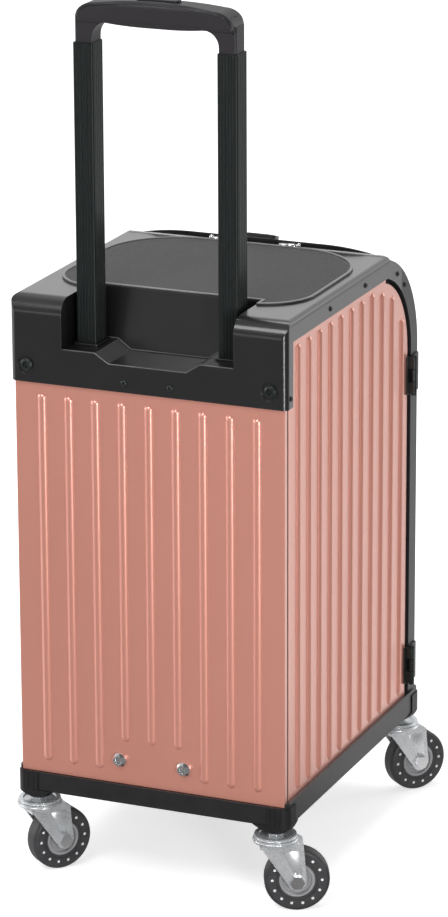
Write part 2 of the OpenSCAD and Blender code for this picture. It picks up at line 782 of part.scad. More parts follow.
module guide_tube(s) {
    color([0.72, 0.72, 0.73]) translate([s * tube_x, tube_y, 0]) difference() {
        translate([0, 0, guide_low + 0.1]) linear_extrude(recess_z - guide_low - 0.1)
            round_rect(guide_w, guide_d, 3.4);
        translate([0, 0, guide_low]) linear_extrude(recess_z)
            round_rect(tube_w + 2 * tube_gap, tube_d + 2 * tube_gap, 2.4);
        for (z = [lock_z, lock_z - handle_travel]) translate([-s * guide_w / 2, 0, z])
            rotate([0, 90, 0]) cylinder(d = lock_d + 2, h = 8, center = true);
    }
}
module guide_tube_left() { guide_tube(-1); }
module guide_tube_right() { guide_tube(1); }

module tube_collars() {
    color([0.06, 0.06, 0.06]) for (s = [-1, 1])
        translate([s * tube_x, tube_y, recess_z + seat_gap]) difference() {
            linear_extrude(collar_h) round_rect(guide_w + 2 * collar_lip, guide_d + 2 * collar_lip, 4);
            translate([0, 0, -1]) linear_extrude(collar_h + 2)
                round_rect(tube_w + 2 * tube_gap, tube_d + 2 * tube_gap, 2.4);
        }
}

module inner_lining() {
    t = lining_t;
    x = half_w - sheet_t - seat_gap;
    z0 = base_z + flange_t + 2 * seat_gap + floor_t;
    z1 = recess_z - recess_step - 8;
    y1 = tube_y - guide_d / 2 - 6;
    r = open_r - sill_t - seat_gap;
    color([0.55, 0.55, 0.56]) {
        for (s = [-1, 1]) translate([s * (x - t / 2), 0, 0]) along_x(t) intersection() {
            translate([curve_y - r, z0]) square([y1 - curve_y + r, z1 - z0]);
            union() {
                translate([curve_y - r - 1, z0]) square([y1 - curve_y + r + 1, curve_z - z0]);
                translate([curve_y, z0]) square([y1 - curve_y, z1 - z0]);
                translate([curve_y, curve_z]) circle(r, $fn = 144);
            }
        }
        block(-x, x, y1 - t, y1, z0, z1);
    }
}

// The frame round the case's opening
module front_frame() {
    x0 = half_w - sill_w;
    x1 = half_w - sheet_t - seat_gap;
    bar_y = seam_y + cover_t;
    bar_z = top_z - sill_w;
    color([0.16, 0.16, 0.17]) {
        difference() {
            for (s = [-1, 1]) follow_front(side_rail_top)
                translate([open_r - sill_t, s > 0 ? x0 : -x1]) square([sill_t, x1 - x0]);
            block(-half_w, half_w, seam_y + cover_t + 3, back_y, curve_z, top_z + 10);
        }
        // Cross bar behind the cover's front wall
        block(-x1, x1, bar_y + seat_gap, bar_y + 4, bar_z - cross_bar_h, bar_z);
        // Sill behind the front rail
        block(-x1, x1, open_y, open_y + sill_t, base_z + flange_t + seat_gap, door_low_z + 10);
    }
}

module door_gasket() {
    x0 = half_w - gasket_in - gasket_w;
    x1 = half_w - gasket_in;
    r0 = open_r + seat_gap / 2;
    color([0.05, 0.05, 0.05]) {
        difference() {
            for (s = [-1, 1]) follow_front(door_low_z + 1)
                translate([r0, s > 0 ? x0 : -x1]) square([door_gap - 0.5, x1 - x0]);
            block(-half_w, half_w, seam_y - 0.5, back_y, curve_z, top_z + 10);
        }
        block(-x1, x1, curve_y - r0 - door_gap + 0.5, curve_y - r0, door_low_z + 1, door_low_z + 7);
    }
}

// One hinge's knuckles along Z about its middle, in three equal lengths
module knuckles(ends) {
    third = hinge_h / 3;
    difference() {
        for (i = ends ? [-1, 1] : [0]) translate([0, 0, i * third])
            cylinder(d = hinge_barrel_d, h = third - 0.6, center = true);
        cylinder(d = hinge_pin_d + 2 * shaft_gap, h = hinge_h + 2, center = true);
    }
}

module hinge_places() {
    for (z = [side_rail_top + hinge_low_up, curve_z - hinge_high_down])
        translate([hinge_x, hinge_y, z]) children();
}

module hinge_leaves_case() {
    third = hinge_h / 3;
    inner = -half_w - seat_gap - hinge_x;
    color([0.7, 0.71, 0.72]) hinge_places() {
        difference() {
            union() {
                translate([inner - leaf_t, 2, -hinge_h / 2]) cube([leaf_t, leaf_w, hinge_h]);
                for (i = [-1, 1]) translate([0, 0, i * third])
                    translate([0, 0, -third / 2 + 0.3]) cube([inner, hinge_barrel_d / 2, third - 0.6]);
            }
            cylinder(d = hinge_barrel_d - 0.5, h = hinge_h + 2, center = true);
            translate([-hinge_barrel_d, -hinge_barrel_d, -third / 2 - 0.3])
                cube([inner + hinge_barrel_d - leaf_t - 0.1, hinge_barrel_d + 4, third + 0.6]);
        }
        knuckles(true);
    }
}

module hinge_leaves_door() {
    third = hinge_h / 3;
    inner = -door_half_w - seat_gap / 2 - hinge_x;
    color([0.66, 0.67, 0.68]) hinge_places() {
        difference() {
            union() {
                translate([inner - leaf_t, -door_t - 0.5, -hinge_h / 2])
                    cube([leaf_t, door_t - 2.5, hinge_h]);
                translate([0, -hinge_barrel_d / 2 - 1.5, -third / 2 + 0.3])
                    cube([inner, hinge_barrel_d / 2 + 1.5, third - 0.6]);
            }
            cylinder(d = hinge_barrel_d - 0.5, h = hinge_h + 2, center = true);
        }
        knuckles(false);
    }
}

module hinge_pins() {
    color([0.85, 0.85, 0.86]) hinge_places() {
        cylinder(d = hinge_pin_d, h = hinge_h + 1, center = true);
        for (s = [-1, 1]) translate([0, 0, s * (hinge_h / 2 + 0.7)])
            cylinder(d = hinge_pin_d + 2, h = 1.2, center = true);
    }
}

module caster_mounts() {
    stem_low = fork_top - stem_foot;
    dish_z = socket_z - mount_t / 2;
    color([0.75, 0.75, 0.77]) for (sx = [-1, 1], sy = [0, 1])
        translate([sx * caster_x, caster_ys[sy], 0]) {
            difference() {
                translate([0, 0, socket_z - mount_t]) cylinder(d = ring_d, h = mount_t);
                translate([0, 0, dish_z]) cylinder(d1 = ring_d * 0.75, d2 = ring_d * 0.85, h = mount_t);
            }
            translate([0, 0, dish_z - 0.5]) cylinder(d = stem_d + 6, h = socket_z + nut_show - dish_z + 0.5,
                $fn = 6);
            translate([0, 0, stem_low]) cylinder(d = stem_d, h = base_z - stem_low);
            translate([0, 0, stem_low - 0.5]) cylinder(d = stem_d + 4, h = 2.2);
        }
}

module door_panel() {
    z0 = door_low_z + door_bar_h + seat_gap;
    z1 = curve_z - cap_skirt - seat_gap;
    half = door_half_w - rim_w - seat_gap;
    color([0.8, 0.57, 0.49]) {
        translate([0, curve_y, z0]) linear_extrude(z1 - z0) rotate(-90) difference() {
            crown_section(0.8, door_in_r, half);
            crown_section(0.8 + sheet_t, door_in_r - 1, half + 1);
        }
        for (i = [-4 : 4]) translate([i * rib_pitch, curve_y - mid_r + 0.8 + crown_drop(i * rib_pitch), z0 + 12])
            rib(z1 - z0 - 24);
    }
}

module door_rim() {
    inner = door_half_w - rim_w;
    color([0.1, 0.1, 0.105]) {
        difference() {
            follow_front(door_low_z) difference() {
                crown_section(0, door_in_r, door_half_w);
                translate([0, -inner]) square([mid_r + 9, 2 * inner]);
            }
            // The cap's own flanges take over above the joint
            block(-half_w - 9, half_w + 9, curve_y - rim_joint_in, back_y, curve_z, top_z + 20);
        }
        // Bottom bar
        translate([0, curve_y, door_low_z]) linear_extrude(door_bar_h) rotate(-90)
            crown_section(0, door_in_r, inner + 1);
    }
}

module door_cap() {
    inner = door_half_w - rim_w - seat_gap;
    front = seam_y - move_gap;
    wall = 2.5;
    color([0.1, 0.1, 0.105]) difference() {
        union() {
            // The curved shell and its skirt
            difference() {
                follow_front(curve_z - cap_skirt) difference() {
                    crown_section(0, door_in_r, inner);
                    crown_section(cap_t, door_in_r - 1, inner + 1);
                }
                block(-half_w - 9, half_w + 9, front, back_y, curve_z, top_z + 20);
            }
            // The flanges at the sides, from the seam to the rim's joint
            difference() {
                follow_front(curve_z - 1) difference() {
                    crown_section(0, door_in_r, door_half_w);
                    translate([0, -inner + 2]) square([mid_r - cap_t - 2, 2 * inner - 4]);
                    translate([0, -inner]) square([door_in_r + 2 + seat_gap, 2 * inner]);
                }
                block(-half_w - 9, half_w + 9, front, back_y, curve_z - 9, top_z + 20);
                block(-half_w - 9, half_w + 9, curve_y - mid_r - 9, curve_y - rim_joint_in + seat_gap,
                    curve_z - 9, top_z + 20);
            }
            // The back wall along the seam
            intersection() {
                follow_front(curve_z - 1) crown_section(1, door_in_r + 2 + seat_gap, inner);
                block(-half_w, half_w, front - wall, front, curve_z, top_z + 20);
            }
        }
        block(-tongue_w / 2 - seat_gap, tongue_w / 2 + seat_gap, front - wall - 1, front + 1,
            tongue_z - seat_gap, tongue_z + tongue_t + seat_gap);
    }
}

// Screws through the cap's flanges and the rim, a little inside the curve
module door_screws() {
    color([0.08, 0.08, 0.08]) for (s = [-1, 1], d = [cap_screw_in, rim_screw_in]) {
        y = seam_y - d;
        side_screw(s, door_half_w, y, curve_z + sqrt(pow(front_r - 9, 2) - pow(curve_y - y, 2)));
    }
}

module door_lining() {
    half = door_half_w - rim_w - seat_gap;
    color([0.5, 0.5, 0.51]) difference() {
        follow_front(door_low_z + door_bar_h + seat_gap)
            translate([door_in_r + 0.5, -half]) square([1.5, 2 * half]);
        block(-half_w, half_w, seam_y - move_gap - 2.7, back_y, curve_z, top_z + 20);
    }
}

// Places a piece on the cap: X along the seam, Z out of the cap, Y back to the seam
module on_cap() {
    a = asin((curve_y - catch_y) / mid_r);
    translate([0, curve_y, curve_z]) rotate([a, 0, 0]) translate([0, 0, mid_r]) children();
}

module catch_housing() {
    color([0.07, 0.07, 0.07]) on_cap() difference() {
        translate([0, 0, seat_gap]) linear_extrude(catch_h) round_rect(catch_w, catch_d, 5);
        // Opening for the thumb piece, and the wider groove for the slider's edges
        translate([-slider_w / 2 - slide_gap, -pocket_y, slider_low])
            cube([slider_w + 2 * slide_gap, 2 * pocket_y, catch_h]);
        translate([-slider_w / 2 - groove_in - slide_gap, -pocket_y, slider_low])
            cube([slider_w + 2 * (groove_in + slide_gap), 2 * pocket_y, slider_lip - slider_low]);
    }
}

// The slider stands against the back end of its pocket, and is drawn forward by a thumb
module catch_slider() {
    back = pocket_y - slide_gap;
    color([0.8, 0.8, 0.82]) on_cap() difference() {
        union() {
            translate([-slider_w / 2 - groove_in, back - slider_d, slider_low + slide_gap])
                cube([slider_w + 2 * groove_in, slider_d, slider_lip - slider_low - 2 * slide_gap]);
            translate([-slider_w / 2, back - slider_d, slider_low + slide_gap])
                cube([slider_w, slider_d, seat_gap + catch_h + 0.5 - slider_low - slide_gap]);
        }
        for (i = [-1 : 1]) translate([-slider_w / 2 - 1, back - slider_d / 2 + i * 2.6 - 0.6, slider_lip + 0.8])
            cube([slider_w + 2, 1.2, 2]);
    }
}

module catch_tongue() {
    front = seam_y - move_gap;
    color([0.75, 0.75, 0.77])
        block(-tongue_w / 2, tongue_w / 2, front - 14, seam_y + tongue_travel, tongue_z, tongue_z + tongue_t);
}

// Section of a handle tube, with fine grooves up its faces
module tube_section() {
    difference() {
        round_rect(tube_w, tube_d, tube_r);
        round_rect(tube_w - 2 * tube_t, tube_d - 2 * tube_t, 0.3);
        for (s = [-1, 1], i = [-2 : 2]) {
            translate([i * groove_pitch, s * tube_d / 2]) circle(d = groove_w, $fn = 16);
            translate([s * tube_w / 2, i * (groove_pitch + 1)]) circle(d = groove_w, $fn = 16);
        }
    }
}

module handle_tube(s) {
    color([0.05, 0.05, 0.052]) translate([s * tube_x, tube_y, tube_low]) difference() {
        linear_extrude(tube_top - tube_low) tube_section();
        translate([-s * tube_w / 2, 0, lock_z - tube_low]) rotate([0, 90, 0])
            cylinder(d = lock_d + 1, h = 6, center = true);
    }
}
module handle_tube_left() { handle_tube(-1); }
module handle_tube_right() { handle_tube(1); }

module tube_end_plugs() {
    w = tube_w - 2 * tube_t - 0.1;
    d = tube_d - 2 * tube_t - 0.1;
    color([0.15, 0.15, 0.15]) for (s = [-1, 1]) translate([s * tube_x, tube_y, tube_low]) difference() {
        union() {
            translate([0, 0, 0.1]) linear_extrude(plug_l) round_rect(w, d, 1.1);
            translate([0, 0, -plug_foot]) linear_extrude(plug_foot) round_rect(tube_w, tube_d, tube_r);
        }
        translate([-s * tube_w / 2, 0, lock_z - tube_low]) rotate([0, 90, 0])
            cylinder(d = lock_d + 2 * shaft_gap, h = 2 * pin_l + 2, center = true);
        // Slot for the linkage rod beside the pin
        translate([0, rod_in, 0]) cylinder(d = rod_d + 0.6, h = 3 * plug_l, center = true, $fn = 32);
    }
}

module lock_pin(s) {
    tip = -s * (tube_w / 2 - 0.2);
    color([0.8, 0.8, 0.8]) translate([s * tube_x, tube_y, lock_z])
        translate([tip, 0, 0]) rotate([0, s * 90, 0])
            cylinder(d = lock_d, h = pin_l - button_travel - 1);
}
module lock_pin_left() { lock_pin(-1); }
module lock_pin_right() { lock_pin(1); }

// Outline of the grip's bar in X and Z, crowned above and bellied below
module bar_outline() {
    bar_low = grip_z - grip_bar_h;
    flat = grip_w / 2 - grip_r;
    intersection() {
        translate([-grip_w / 2, bar_low]) square([grip_w, grip_bar_h]);
        union() {
            translate([-flat, bar_low]) square([2 * flat, grip_bar_h]);
            for (s = [-1, 1]) translate([s * flat, grip_z - grip_r]) circle(grip_r);
        }
    }
    intersection() {
        translate([-flat, grip_z - 1]) square([2 * flat, grip_crown + 1]);
        translate([0, grip_z + grip_crown - arc_r(flat, grip_crown)])
            circle(arc_r(flat, grip_crown), $fn = 720);
    }
    intersection() {
        translate([-belly_half, bar_low - grip_belly]) square([2 * belly_half, grip_belly + 1]);
        translate([0, bar_low - grip_belly + arc_r(belly_half, grip_belly)])
            circle(arc_r(belly_half, grip_belly), $fn = 720);
    }
}

// Outline of the legs in X and Z, with the fillets under the bar
module leg_outline() {
    bar_low = grip_z - grip_bar_h;
    low = tube_top - grip_leg;
    for (s = [-1, 1]) {
        translate([s * tube_x - leg_w / 2, low]) square([leg_w, bar_low + 5 - low]);
        difference() {
            translate([s * (belly_half + grip_fillet / 2) - grip_fillet / 2, bar_low - grip_fillet])
                square([grip_fillet, grip_fillet + 3]);
            translate([s * belly_half, bar_low - grip_fillet]) circle(grip_fillet);
        }
    }
}

module handle_grip() {
    bar_low = grip_z - grip_bar_h - grip_belly;
    bar_top = grip_z + grip_crown;
    color([0.1, 0.1, 0.1]) difference() {
        union() {
            intersection() {
                along_y(tube_y - grip_d / 2, tube_y + grip_d / 2) bar_outline();
                along_x(grip_w + 2) translate([tube_y, (bar_low + bar_top) / 2])
                    round_rect(grip_d, bar_top - bar_low, grip_edge_r);
                translate([0, tube_y, bar_low]) linear_extrude(bar_top - bar_low)
                    round_rect(grip_w, grip_d, grip_end_r);
            }
            intersection() {
                along_y(tube_y - leg_d / 2, tube_y + leg_d / 2) leg_outline();
                translate([0, tube_y, tube_top - grip_leg]) linear_extrude(grip_leg + grip_h)
                    round_rect(grip_w, leg_d, 2.2);
            }
        }
        // Well of the button, channel of the linkage and the rods' holes
        translate([0, tube_y, well_z]) linear_extrude(30)
            round_rect(button_l + 2 * button_gap, button_w + 2 * button_gap, button_w / 2 - 0.5);
        block(-tube_x - 3, tube_x + 3, tube_y - 4, tube_y + 4, spring_low, link_top + 0.3);
        for (s = [-1, 1]) {
            block(s * tube_x - 3, s * tube_x + 3, tube_y + 3.5, tube_y + 9, spring_low, link_top + 0.3);
            translate([s * tube_x, tube_y + rod_in, tube_top - grip_leg - 1])
                cylinder(d = rod_d + 0.6, h = link_top - tube_top + grip_leg, $fn = 32);
        }
    }
}

module grip_button() {
    color([0.16, 0.16, 0.16]) translate([0, tube_y, link_top + 0.2])
        linear_extrude(grip_z + grip_crown + button_proud - link_top - 0.2)
            round_rect(button_l, button_w, button_w / 2 - 1);
}

module release_linkage() {
    low = lock_z - 4;
    color([0.7, 0.7, 0.7]) {
        block(-tube_x - 2, tube_x + 2, tube_y - 3, tube_y + 3, link_top - link_t, link_top);
        for (s = [-1, 1]) {
            block(s * tube_x - 2, s * tube_x + 2, tube_y + 2, tube_y + 8, link_top - link_t, link_top);
            translate([s * tube_x, tube_y + rod_in, low])
                cylinder(d = rod_d, h = link_top - 1 - low, $fn = 32);
        }
    }
}

// A coil of round wire as one closed surface: rings of eight points along a helix
module coil(r, wire, h, turns) {
    steps = 16;
    last = turns * steps;
    points = [for (i = [0 : last], k = [0 : 7])
        let (a = 360 * i / steps, b = 45 * k, reach = r + wire / 2 * cos(b))
            [reach * cos(a), reach * sin(a), h * i / last + wire / 2 * sin(b)]];
    sides = [for (i = [0 : last - 1], k = [0 : 7])
        let (n = (k + 1) % 8, a = 8 * i, b = 8 * i + 8)
            each [[a + k, b + k, b + n], [a + k, b + n, a + n]]];
    ends = [for (k = [1 : 6]) each [[0, k, k + 1], [8 * last, 8 * last + k + 1, 8 * last + k]]];
    polyhedron(points, concat(sides, ends));
}

module button_spring() {
    h = spring_top - spring_low - 2 * spring_wire;
    color([0.8, 0.8, 0.8]) translate([0, tube_y, spring_low + spring_wire / 2 + 0.05])
        coil(2.6, spring_wire, h, 3);
}

// A caster's pieces, drawn with the swivel axis on Z and the wheel out along X
module caster_fork() {
    leg_in = wheel_w / 2 + fork_gap;
    leg_out = leg_in + fork_t;
    yoke_z = fork_top - 9;
    yoke_back = -15;
    color([0.76, 0.77, 0.79]) difference() {
        union() {
            translate([0, 0, fork_top - 4]) cylinder(d = ring_d + 2, h = 4);
            translate([0, 0, fork_top - 8]) cylinder(r1 = ring_d / 2 - 5, r2 = ring_d / 2 - 1, h = 4);
            // The yoke slopes down from the ring over the wheel
            along_y(-leg_out, leg_out) polygon([
                [yoke_back, yoke_z], [fork_reach, yoke_z], [fork_reach, yoke_z + 2.5],
                [ring_d / 2 - 2, fork_top - 1.5], [0, fork_top - 1.5], [0, yoke_z + 3], [yoke_back, yoke_z + 3]]);
            for (s = [-1, 1]) translate([0, s > 0 ? leg_out : -leg_in, 0]) rotate([90, 0, 0])
                linear_extrude(fork_t) {
                    polygon([[yoke_back, yoke_z + 3], [fork_reach, yoke_z + 2.5],
                             [trail + 8.9, axle_z + 1], [trail, axle_z - 5], [trail - 6.6, axle_z - 6]]);
                    translate([trail, axle_z]) circle(9);
                }
        }
        translate([0, 0, fork_top - 20]) cylinder(d = stem_d + 2 * shaft_gap, h = 30);
        translate([trail, 0, axle_z]) rotate([90, 0, 0])
            cylinder(d = axle_d + 2 * shaft_gap, h = 60, center = true);
    }
}

module caster_axle() {
    leg_out = wheel_w / 2 + fork_gap + fork_t;
    head = axle_d + 6;
    color([0.8, 0.8, 0.82]) translate([trail, 0, axle_z]) rotate([90, 0, 0]) {
        cylinder(d = axle_d, h = 2 * leg_out + 6, center = true);
        for (s = [-1, 1]) translate([0, 0, s * (leg_out + 1.9)])
            cylinder(d = head, h = 3.4, center = true, $fn = 6);
    }
}

module caster_tyre() {
    r = wheel_d / 2;
    e = 4;
    color([0.06, 0.06, 0.06]) translate([trail, 0, axle_z]) rotate([90, 0, 0]) difference() {
        rotate_extrude($fn = 96) union() {
            translate([hub_d / 2 + 0.1, -wheel_w / 2]) square([r - e - hub_d / 2 - 0.1, wheel_w]);
            translate([hub_d / 2 + 0.1, -wheel_w / 2 + e]) square([r - hub_d / 2 - 0.1, wheel_w - 2 * e]);
            for (s = [-1, 1]) translate([r - e, s * (wheel_w / 2 - e)]) circle(e);
        }
        for (s = [-1, 1], i = [1 : dots]) rotate([0, 0, i * 360 / dots])
            translate([hub_d / 2 + dot_out, 0, s * wheel_w / 2])
                cylinder(d = dot_d, h = 1.4, center = true, $fn = 20);
        // A fine groove between the tread's rounded edge and the flat side
        for (s = [-1, 1]) translate([0, 0, s * wheel_w / 2]) difference() {
            cylinder(r = hub_d / 2 + 2.8, h = 1, center = true);
            cylinder(r = hub_d / 2 + 2, h = 2, center = true);
        }
    }
}

module caster_hub() {
    color([0.6, 0.6, 0.62]) translate([trail, 0, axle_z]) rotate([90, 0, 0]) difference() {
        union() {
            cylinder(d = hub_d, h = wheel_w - 2, center = true);
            cylinder(d = axle_d + 7, h = wheel_w + 2 * fork_gap - 0.8, center = true);
        }
        cylinder(d = axle_d + 2 * shaft_gap, h = wheel_w + 10, center = true);
        for (s = [-1, 1]) translate([0, 0, s * (wheel_w / 2 - 1)]) difference() {
            cylinder(d = hub_d - 6, h = 5, center = true);
            cylinder(d = axle_d + 9, h = 6, center = true);
        }
    }
}

// A caster's place: 0 rear right, 1 rear left, 2 front left, 3 front right
module caster_place(i) {
    sx = (i == 0 || i == 3) ? 1 : -1;
    translate([sx * caster_x, caster_ys[i < 2 ? 0 : 1], 0])
        rotate([0, 0, headings[i]]) children();
}

module fork_rear_right() { caster_place(0) caster_fork(); }
module axle_rear_right() { caster_place(0) caster_axle(); }
module tyre_rear_right() { caster_place(0) caster_tyre(); }
module hub_rear_right() { caster_place(0) caster_hub(); }
module fork_rear_left() { caster_place(1) caster_fork(); }
module axle_rear_left() { caster_place(1) caster_axle(); }
module tyre_rear_left() { caster_place(1) caster_tyre(); }
module hub_rear_left() { caster_place(1) caster_hub(); }
module fork_front_left() { caster_place(2) caster_fork(); }
module axle_front_left() { caster_place(2) caster_axle(); }
module tyre_front_left() { caster_place(2) caster_tyre(); }
module hub_front_left() { caster_place(2) caster_hub(); }
module fork_front_right() { caster_place(3) caster_fork(); }
module axle_front_right() { caster_place(3) caster_axle(); }
module tyre_front_right() { caster_place(3) caster_tyre(); }
module hub_front_right() { caster_place(3) caster_hub(); }

back_panel();
side_panel_left();
side_panel_right();
corner_strips();
floor_panel();
base_frame();
base_corners();
top_cover();
top_mat();
cover_screws();
trim_screws();
rear_bolts();
handle_foot();
guide_tube_left();
guide_tube_right();
tube_collars();
inner_lining();
front_frame();
door_gasket();
hinge_leaves_case();
hinge_pins();
caster_mounts();
door_panel();
door_rim();
door_cap();
door_screws();
door_lining();
hinge_leaves_door();
catch_housing();
catch_slider();
catch_tongue();
handle_tube_left();
handle_tube_right();
tube_end_plugs();
handle_grip();
grip_button();
release_linkage();
button_spring();
lock_pin_left();
lock_pin_right();
fork_rear_right();
axle_rear_right();
tyre_rear_right();
hub_rear_right();
fork_rear_left();
axle_rear_left();
tyre_rear_left();
hub_rear_left();
fork_front_left();
axle_front_left();
tyre_front_left();
hub_front_left();
fork_front_right();
axle_front_right();
tyre_front_right();
hub_front_right();
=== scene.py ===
# %% [markdown]
# # A ribbed trolley case
# The case stands on four casters with its handle pulled out. The solids of the case come
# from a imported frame, and this file gives them their finish, light and the small shapes
# that only show from close by. Blender works in metres, so a size in millimetres is
# multiplied by MM.

# %% Load the frame
import json
import math

import bmesh
import bpy
from mathutils import Matrix, Vector


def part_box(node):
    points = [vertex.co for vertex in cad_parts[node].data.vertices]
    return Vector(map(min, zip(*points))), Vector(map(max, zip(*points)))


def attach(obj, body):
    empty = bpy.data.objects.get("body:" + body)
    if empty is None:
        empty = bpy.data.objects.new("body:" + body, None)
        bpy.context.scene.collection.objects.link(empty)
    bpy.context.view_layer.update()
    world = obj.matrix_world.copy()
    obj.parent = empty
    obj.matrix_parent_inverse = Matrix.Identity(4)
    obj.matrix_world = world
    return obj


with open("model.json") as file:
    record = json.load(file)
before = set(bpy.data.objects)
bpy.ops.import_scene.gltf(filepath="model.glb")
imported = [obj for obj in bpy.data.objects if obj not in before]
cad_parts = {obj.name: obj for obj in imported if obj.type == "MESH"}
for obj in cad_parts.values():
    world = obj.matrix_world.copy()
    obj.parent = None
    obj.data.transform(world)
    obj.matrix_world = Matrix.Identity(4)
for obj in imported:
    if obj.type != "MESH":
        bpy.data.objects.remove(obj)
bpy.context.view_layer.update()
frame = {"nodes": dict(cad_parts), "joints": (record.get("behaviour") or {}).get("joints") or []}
nodes = frame["nodes"]
MM = 0.001

# %% [markdown]
# ## The camera
# The picture was taken with a long lens from behind the case, a little to one side and
# from above. A camera can be turned with angles, but here its three directions are worked
# out as vectors, because the same vectors then say how far it stands off and what its
# centre looks at.

# %% Camera
YAW = math.radians(22.93)
PITCH = math.radians(17.26)
ROLL = math.radians(-0.25)
FOCAL = 4253.8  # in pixels of the picture
PICTURE_TALL = 917  # the picture's height in pixels
SENSOR = 36  # the height of the film in millimetres
STAND_OFF = 4075.5 * MM
ASIDE = 6.03 * MM
AIM_HEIGHT = 385 * MM

back = Vector((-math.sin(YAW) * math.cos(PITCH), math.cos(YAW) * math.cos(PITCH), math.sin(PITCH)))
level_right = Vector((-math.cos(YAW), -math.sin(YAW), 0))
level_up = back.cross(level_right)
right = level_right * math.cos(ROLL) + level_up * math.sin(ROLL)
up = level_up * math.cos(ROLL) - level_right * math.sin(ROLL)

lens = bpy.data.cameras.new("camera")
lens.sensor_width = SENSOR
lens.lens = SENSOR * FOCAL / PICTURE_TALL
camera = bpy.data.objects.new("camera", lens)
camera.matrix_world = Matrix((right, up, back)).transposed().to_4x4()
camera.location = Vector((0, 0, AIM_HEIGHT)) + level_right * ASIDE + back * STAND_OFF
bpy.context.scene.collection.objects.link(camera)
bpy.context.scene.camera = camera
print(f"the lens is {lens.lens:.0f} mm and the camera is {camera.location.z:.2f} m up")

# %% [markdown]
# ## Shader maths
# A finish is a small sum: some noise times a strength, plus a colour. Blender draws such
# sums as nodes. Here a class wraps a node's socket and lends it Python's own operators, so
# that a sum reads as a sum, and one method adds every other kind of node.


# %% Shader maths
class Value:
    """A number worked out by the shader, with Python's operators."""

    def __init__(self, paint, socket):
        self.paint = paint
        self.socket = socket

    def maths(self, operation, a, b):
        return self.paint.node("ShaderNodeMath", {"operation": operation}, {0: a, 1: b})

    def __add__(self, other):
        return self.maths("ADD", self, other)

    __radd__ = __add__

    def __sub__(self, other):
        return self.maths("SUBTRACT", self, other)

    def __rsub__(self, other):
        return self.maths("SUBTRACT", other, self)

    def __mul__(self, other):
        return self.maths("MULTIPLY", self, other)

    __rmul__ = __mul__


class Paint:
    """A material, or the world, and its nodes."""

    edge = 0.4 * MM  # the radius that a sharp edge seems to have

    def __init__(self, owner):
        owner.use_nodes = True
        self.owner = owner
        self.tree = owner.node_tree
        self.tree.nodes.clear()

    def node(self, kind, settings=None, sockets=None, output=0):
        """Adds a node, sets its settings, then fills its sockets with values or links."""
        made = self.tree.nodes.new(kind)
        for name, setting in (settings or {}).items():
            if name == "stops":
                ramp = made.color_ramp
                while len(ramp.elements) < len(setting):
                    ramp.elements.new(0.5)
                for element, (place, colour) in zip(ramp.elements, setting):
                    element.position = place
                    element.color = (*colour, 1)
            else:
                setattr(made, name, setting)
        for name, filling in (sockets or {}).items():
            if isinstance(filling, Value):
                self.tree.links.new(filling.socket, made.inputs[name])
            elif isinstance(filling, tuple) and made.inputs[name].type == "RGBA":
                made.inputs[name].default_value = (*filling, 1)
            else:
                made.inputs[name].default_value = filling
        return Value(self, made.outputs[output]) if made.outputs else None

    def place(self, stretch=(1, 1, 1), turn=(0, 0, 0)):
        """The point on the piece, in metres, stretched and turned for a pattern."""
        point = self.node("ShaderNodeTexCoord", output="Object")
        return self.node("ShaderNodeMapping", {}, {"Vector": point, "Scale": stretch, "Rotation": turn})

    def noise(self, per_metre, detail=2, stretch=(1, 1, 1)):
        sockets = {"Vector": self.place(stretch), "Scale": per_metre, "Detail": detail}
        return self.node("ShaderNodeTexNoise", {}, sockets)

    def ramp(self, value, low, high, start=0.0, end=1.0):
        """A value that goes smoothly from start to end while another goes from low to high."""
        settings = {"interpolation_type": "SMOOTHSTEP"}
        sockets = {"Value": value, "From Min": low, "From Max": high, "To Min": start, "To Max": end}
        return self.node("ShaderNodeMapRange", settings, sockets)

    def blend(self, a, b, share):
        """A colour between two colours."""
        settings = {"data_type": "RGBA"}
        return self.node("ShaderNodeMix", settings, {"Factor": share, 6: a, 7: b}, output=2)

    def bump(self, height, depth, strength=1.0):
        """Height over the surface, in metres once it is multiplied by its depth."""
        soft = self.node("ShaderNodeBevel", {"samples": 4}, {"Radius": self.edge})
        sockets = {"Height": height, "Distance": depth, "Strength": strength, "Normal": soft}
        return self.node("ShaderNodeBump", {}, sockets)


def surface(name, finish, edge=Paint.edge, **fixed):
    """A material: finish(paint) gives what changes over it, fixed what is the same all over."""
    paint = Paint(bpy.data.materials.new(name))
    paint.edge = edge
    sockets = {key.replace("_", " "): filling for key, filling in fixed.items()}
    sockets.update(finish(paint))
    if "Normal" not in sockets:
        sockets["Normal"] = paint.node("ShaderNodeBevel", {"samples": 4}, {"Radius": edge})
    shader = paint.node("ShaderNodeBsdfPrincipled", {}, sockets)
    paint.node("ShaderNodeOutputMaterial", {}, {"Surface": shader})
    return paint.owner


# %% [markdown]
# ## Metals
# The body is aluminium with a rose-gold anodised skin: a metal under a clear, slightly
# rough layer. Seen at a slant the clear layer turns paler, which a coat gives and a plain
# metal doesn't. Rolling leaves faint upright streaks, so the noise is stretched along Z.


# %% Metals
def rose_finish(paint):
    streaks = paint.noise(260, 3, (1, 1, 0.02))
    cloud = paint.noise(9, 2)
    grain = paint.noise(3200, 1)
    colour = paint.blend((0.76, 0.315, 0.235), (0.84, 0.365, 0.28), cloud)
    return {
        "Base Color": paint.blend(colour, (0.80, 0.34, 0.258), streaks),
        "Roughness": 0.30 + streaks * 0.06 + cloud * 0.04,
        "Normal": paint.bump(grain * 0.5 + streaks * 0.5, 0.02 * MM, 0.35),
    }


def zinc_finish(paint):
    cloud = paint.noise(160, 3)
    return {
        "Base Color": paint.blend((0.66, 0.69, 0.72), (0.80, 0.82, 0.83), cloud),
        "Roughness": 0.20 + cloud * 0.16,
        "Normal": paint.bump(cloud, 0.03 * MM, 0.3),
    }


